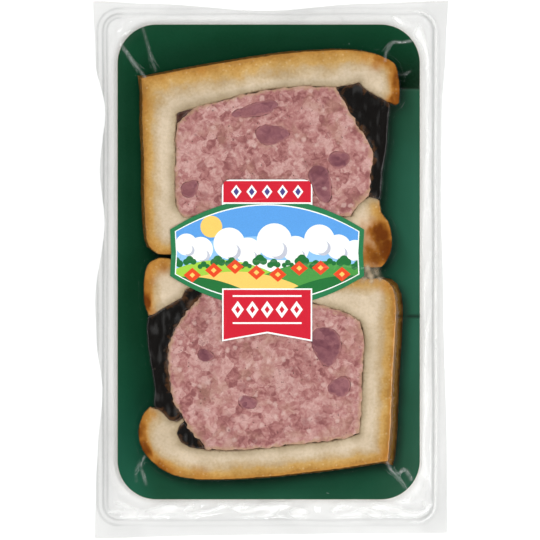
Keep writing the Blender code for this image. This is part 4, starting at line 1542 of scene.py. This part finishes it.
# Creases at the slices' corners, the card's bend and its dark seam, which is painted shade along a crease;
# their milky streaks paint highlights
CREASES = WEB + (
    Crease([(-52.8, 81.0, 9.0), (-55.5, 84.5, 4.4), (-58.2, 87.6, 3.4), (-60.6, 91.5, 3.0),
            (-63.0, 94.5, 2.7)], 0.24, 0.5, patchy=0.6),
    Crease([(-48.5, 84.0, 7.0), (-50.6, 89.5, 3.0), (-52.2, 96.0, 2.7), (-54.0, 102.0, 2.5)],
           0.10, patchy=0.5),
    Crease([(48.2, 88.0, 7.0), (48.8, 93.2, 3.4), (51.4, 96.3, 3.0), (55.2, 95.7, 2.8), (60.4, 96.8, 2.6)],
           0.20),
    Crease([(53.8, 82.2, 6.0), (56.5, 82.4, 3.0), (59.2, 83.9, 2.5)], 0.07),
    Crease([(54.8, 76.2, 2.8), (58.0, 76.0, 2.5), (62.6, 76.0, 2.4)], 0.018, 0.5, patchy=0.5),
    Crease([(49.2, -81.2, 9.0), (51.2, -85.6, 4.2), (53.6, -86.4, 3.3), (56.6, -83.7, 3.0),
            (59.4, -88.6, 2.6)], 0.20, 0.6, patchy=0.7),
    Crease([(50.8, -84.6, 5.0), (54.5, -88.5, 3.1), (57.2, -92.5, 2.6)], 0.13, 0.6, patchy=0.7),
    Crease([(-53.2, -78.8, 7.0), (-54.9, -82.4, 3.4), (-53.9, -86.0, 3.0), (-52.6, -90.6, 2.6)], 0.17),
    Crease([(-55.4, -82.0, 3.4), (-57.0, -85.6, 2.8), (-56.6, -89.2, 2.5)], 0.09),
    Crease([(53.4, -19.7, 2.4), (62.6, -19.8, 2.4)], 0.0, 0.8, shade=0.97, patchy=0.15),
)

# Each slice's toasted spots, the flap's first
TOASTED = {
    Side.UPPER: (
        ToastedSpot(46.6, 15.0, 9.5, 1.0), ToastedSpot(49.0, 9.5, 9.5, 1.0),
        ToastedSpot(43.5, 6.0, 13.5, 0.72), ToastedSpot(50.5, 4.5, 9.0, 0.7),
        ToastedSpot(51.5, 17.0, 8.0, 0.5),
        ToastedSpot(55.0, 71.5, 12.0, 0.85, True), ToastedSpot(54.5, 80.0, 13.0, 0.85, True),
        # The spots at (41.0, 89.4) and (44.0, 86.2) are painted shade along a crease in the pastry
        ToastedSpot(47.0, 87.0, 11.0, 0.6, True), ToastedSpot(41.0, 89.4, 3.4, 0.5),
        ToastedSpot(44.0, 86.2, 3.4, 0.45), ToastedSpot(-52.0, 9.0, 6.0, 0.35),
        ToastedSpot(-55.0, 69.0, 5.5, 0.35), ToastedSpot(-30.0, 85.5, 5.0, 0.3),
    ),
    Side.LOWER: (
        ToastedSpot(-51.0, -5.5, 9.0, 0.7, True), ToastedSpot(-52.0, -13.0, 9.5, 0.9, True),
        ToastedSpot(-46.0, 1.0, 6.0, 0.5), ToastedSpot(-55.0, -67.0, 11.0, 0.9, True),
        ToastedSpot(-53.0, -75.0, 11.0, 0.9, True), ToastedSpot(-46.0, -83.5, 11.0, 0.7, True),
        ToastedSpot(49.0, -79.0, 5.5, 0.45), ToastedSpot(-30.0, -88.0, 5.5, 0.35),
        ToastedSpot(49.5, -6.0, 6.0, 0.35),
    ),
}


def main() -> None:
    """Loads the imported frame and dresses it."""
    logging.basicConfig(level=logging.INFO, format="%(message)s")
    noise.seed_set(NOISE_SEED)
    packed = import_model()
    frame = PackedFrame(packed["nodes"])
    effects = SharedEffects()
    pastry = PastryFinish(effects).material()
    meat = MeatFinish(effects, "forcemeat", dark=(0.265, 0.087, 0.086), middle=(0.420, 0.178, 0.166),
                      light=(0.60, 0.355, 0.325), fat_share=0.20, speck_share=0.11).material()
    ham = MeatFinish(effects, "ham", dark=(0.160, 0.046, 0.064), middle=(0.215, 0.070, 0.088),
                     light=(0.31, 0.120, 0.135), fat_share=0.04, speck_share=0.02, bit_size=5.0, cracks=0.4,
                     surround=(0.36, 0.145, 0.140), surround_reach=1.1, raggedness=3.5,
                     tan=(0.25, 0.085, 0.085)).material()
    jelly = JellyFinish(effects, "dark_jelly").material()
    thin_jelly = JellyFinish(effects, "thin_brown_jelly", deep=(0.048, 0.018, 0.013),
                             thin=(0.13, 0.055, 0.04)).material()
    card_finish = CardFinish(effects)
    contents = [Card(frame, card_finish.coated(), card_finish.bare()).build()]
    for side in Side:
        contents += SliceOfPate(frame, side, pastry, meat, ham, jelly, thin_jelly, TOASTED[side]).build()
    surface = PouchFilm(frame, FilmFinish().material(), CREASES).build(contents)
    Label(frame, effects, surface).build()
    Studio().build()


if __name__ == "__main__":
    main()
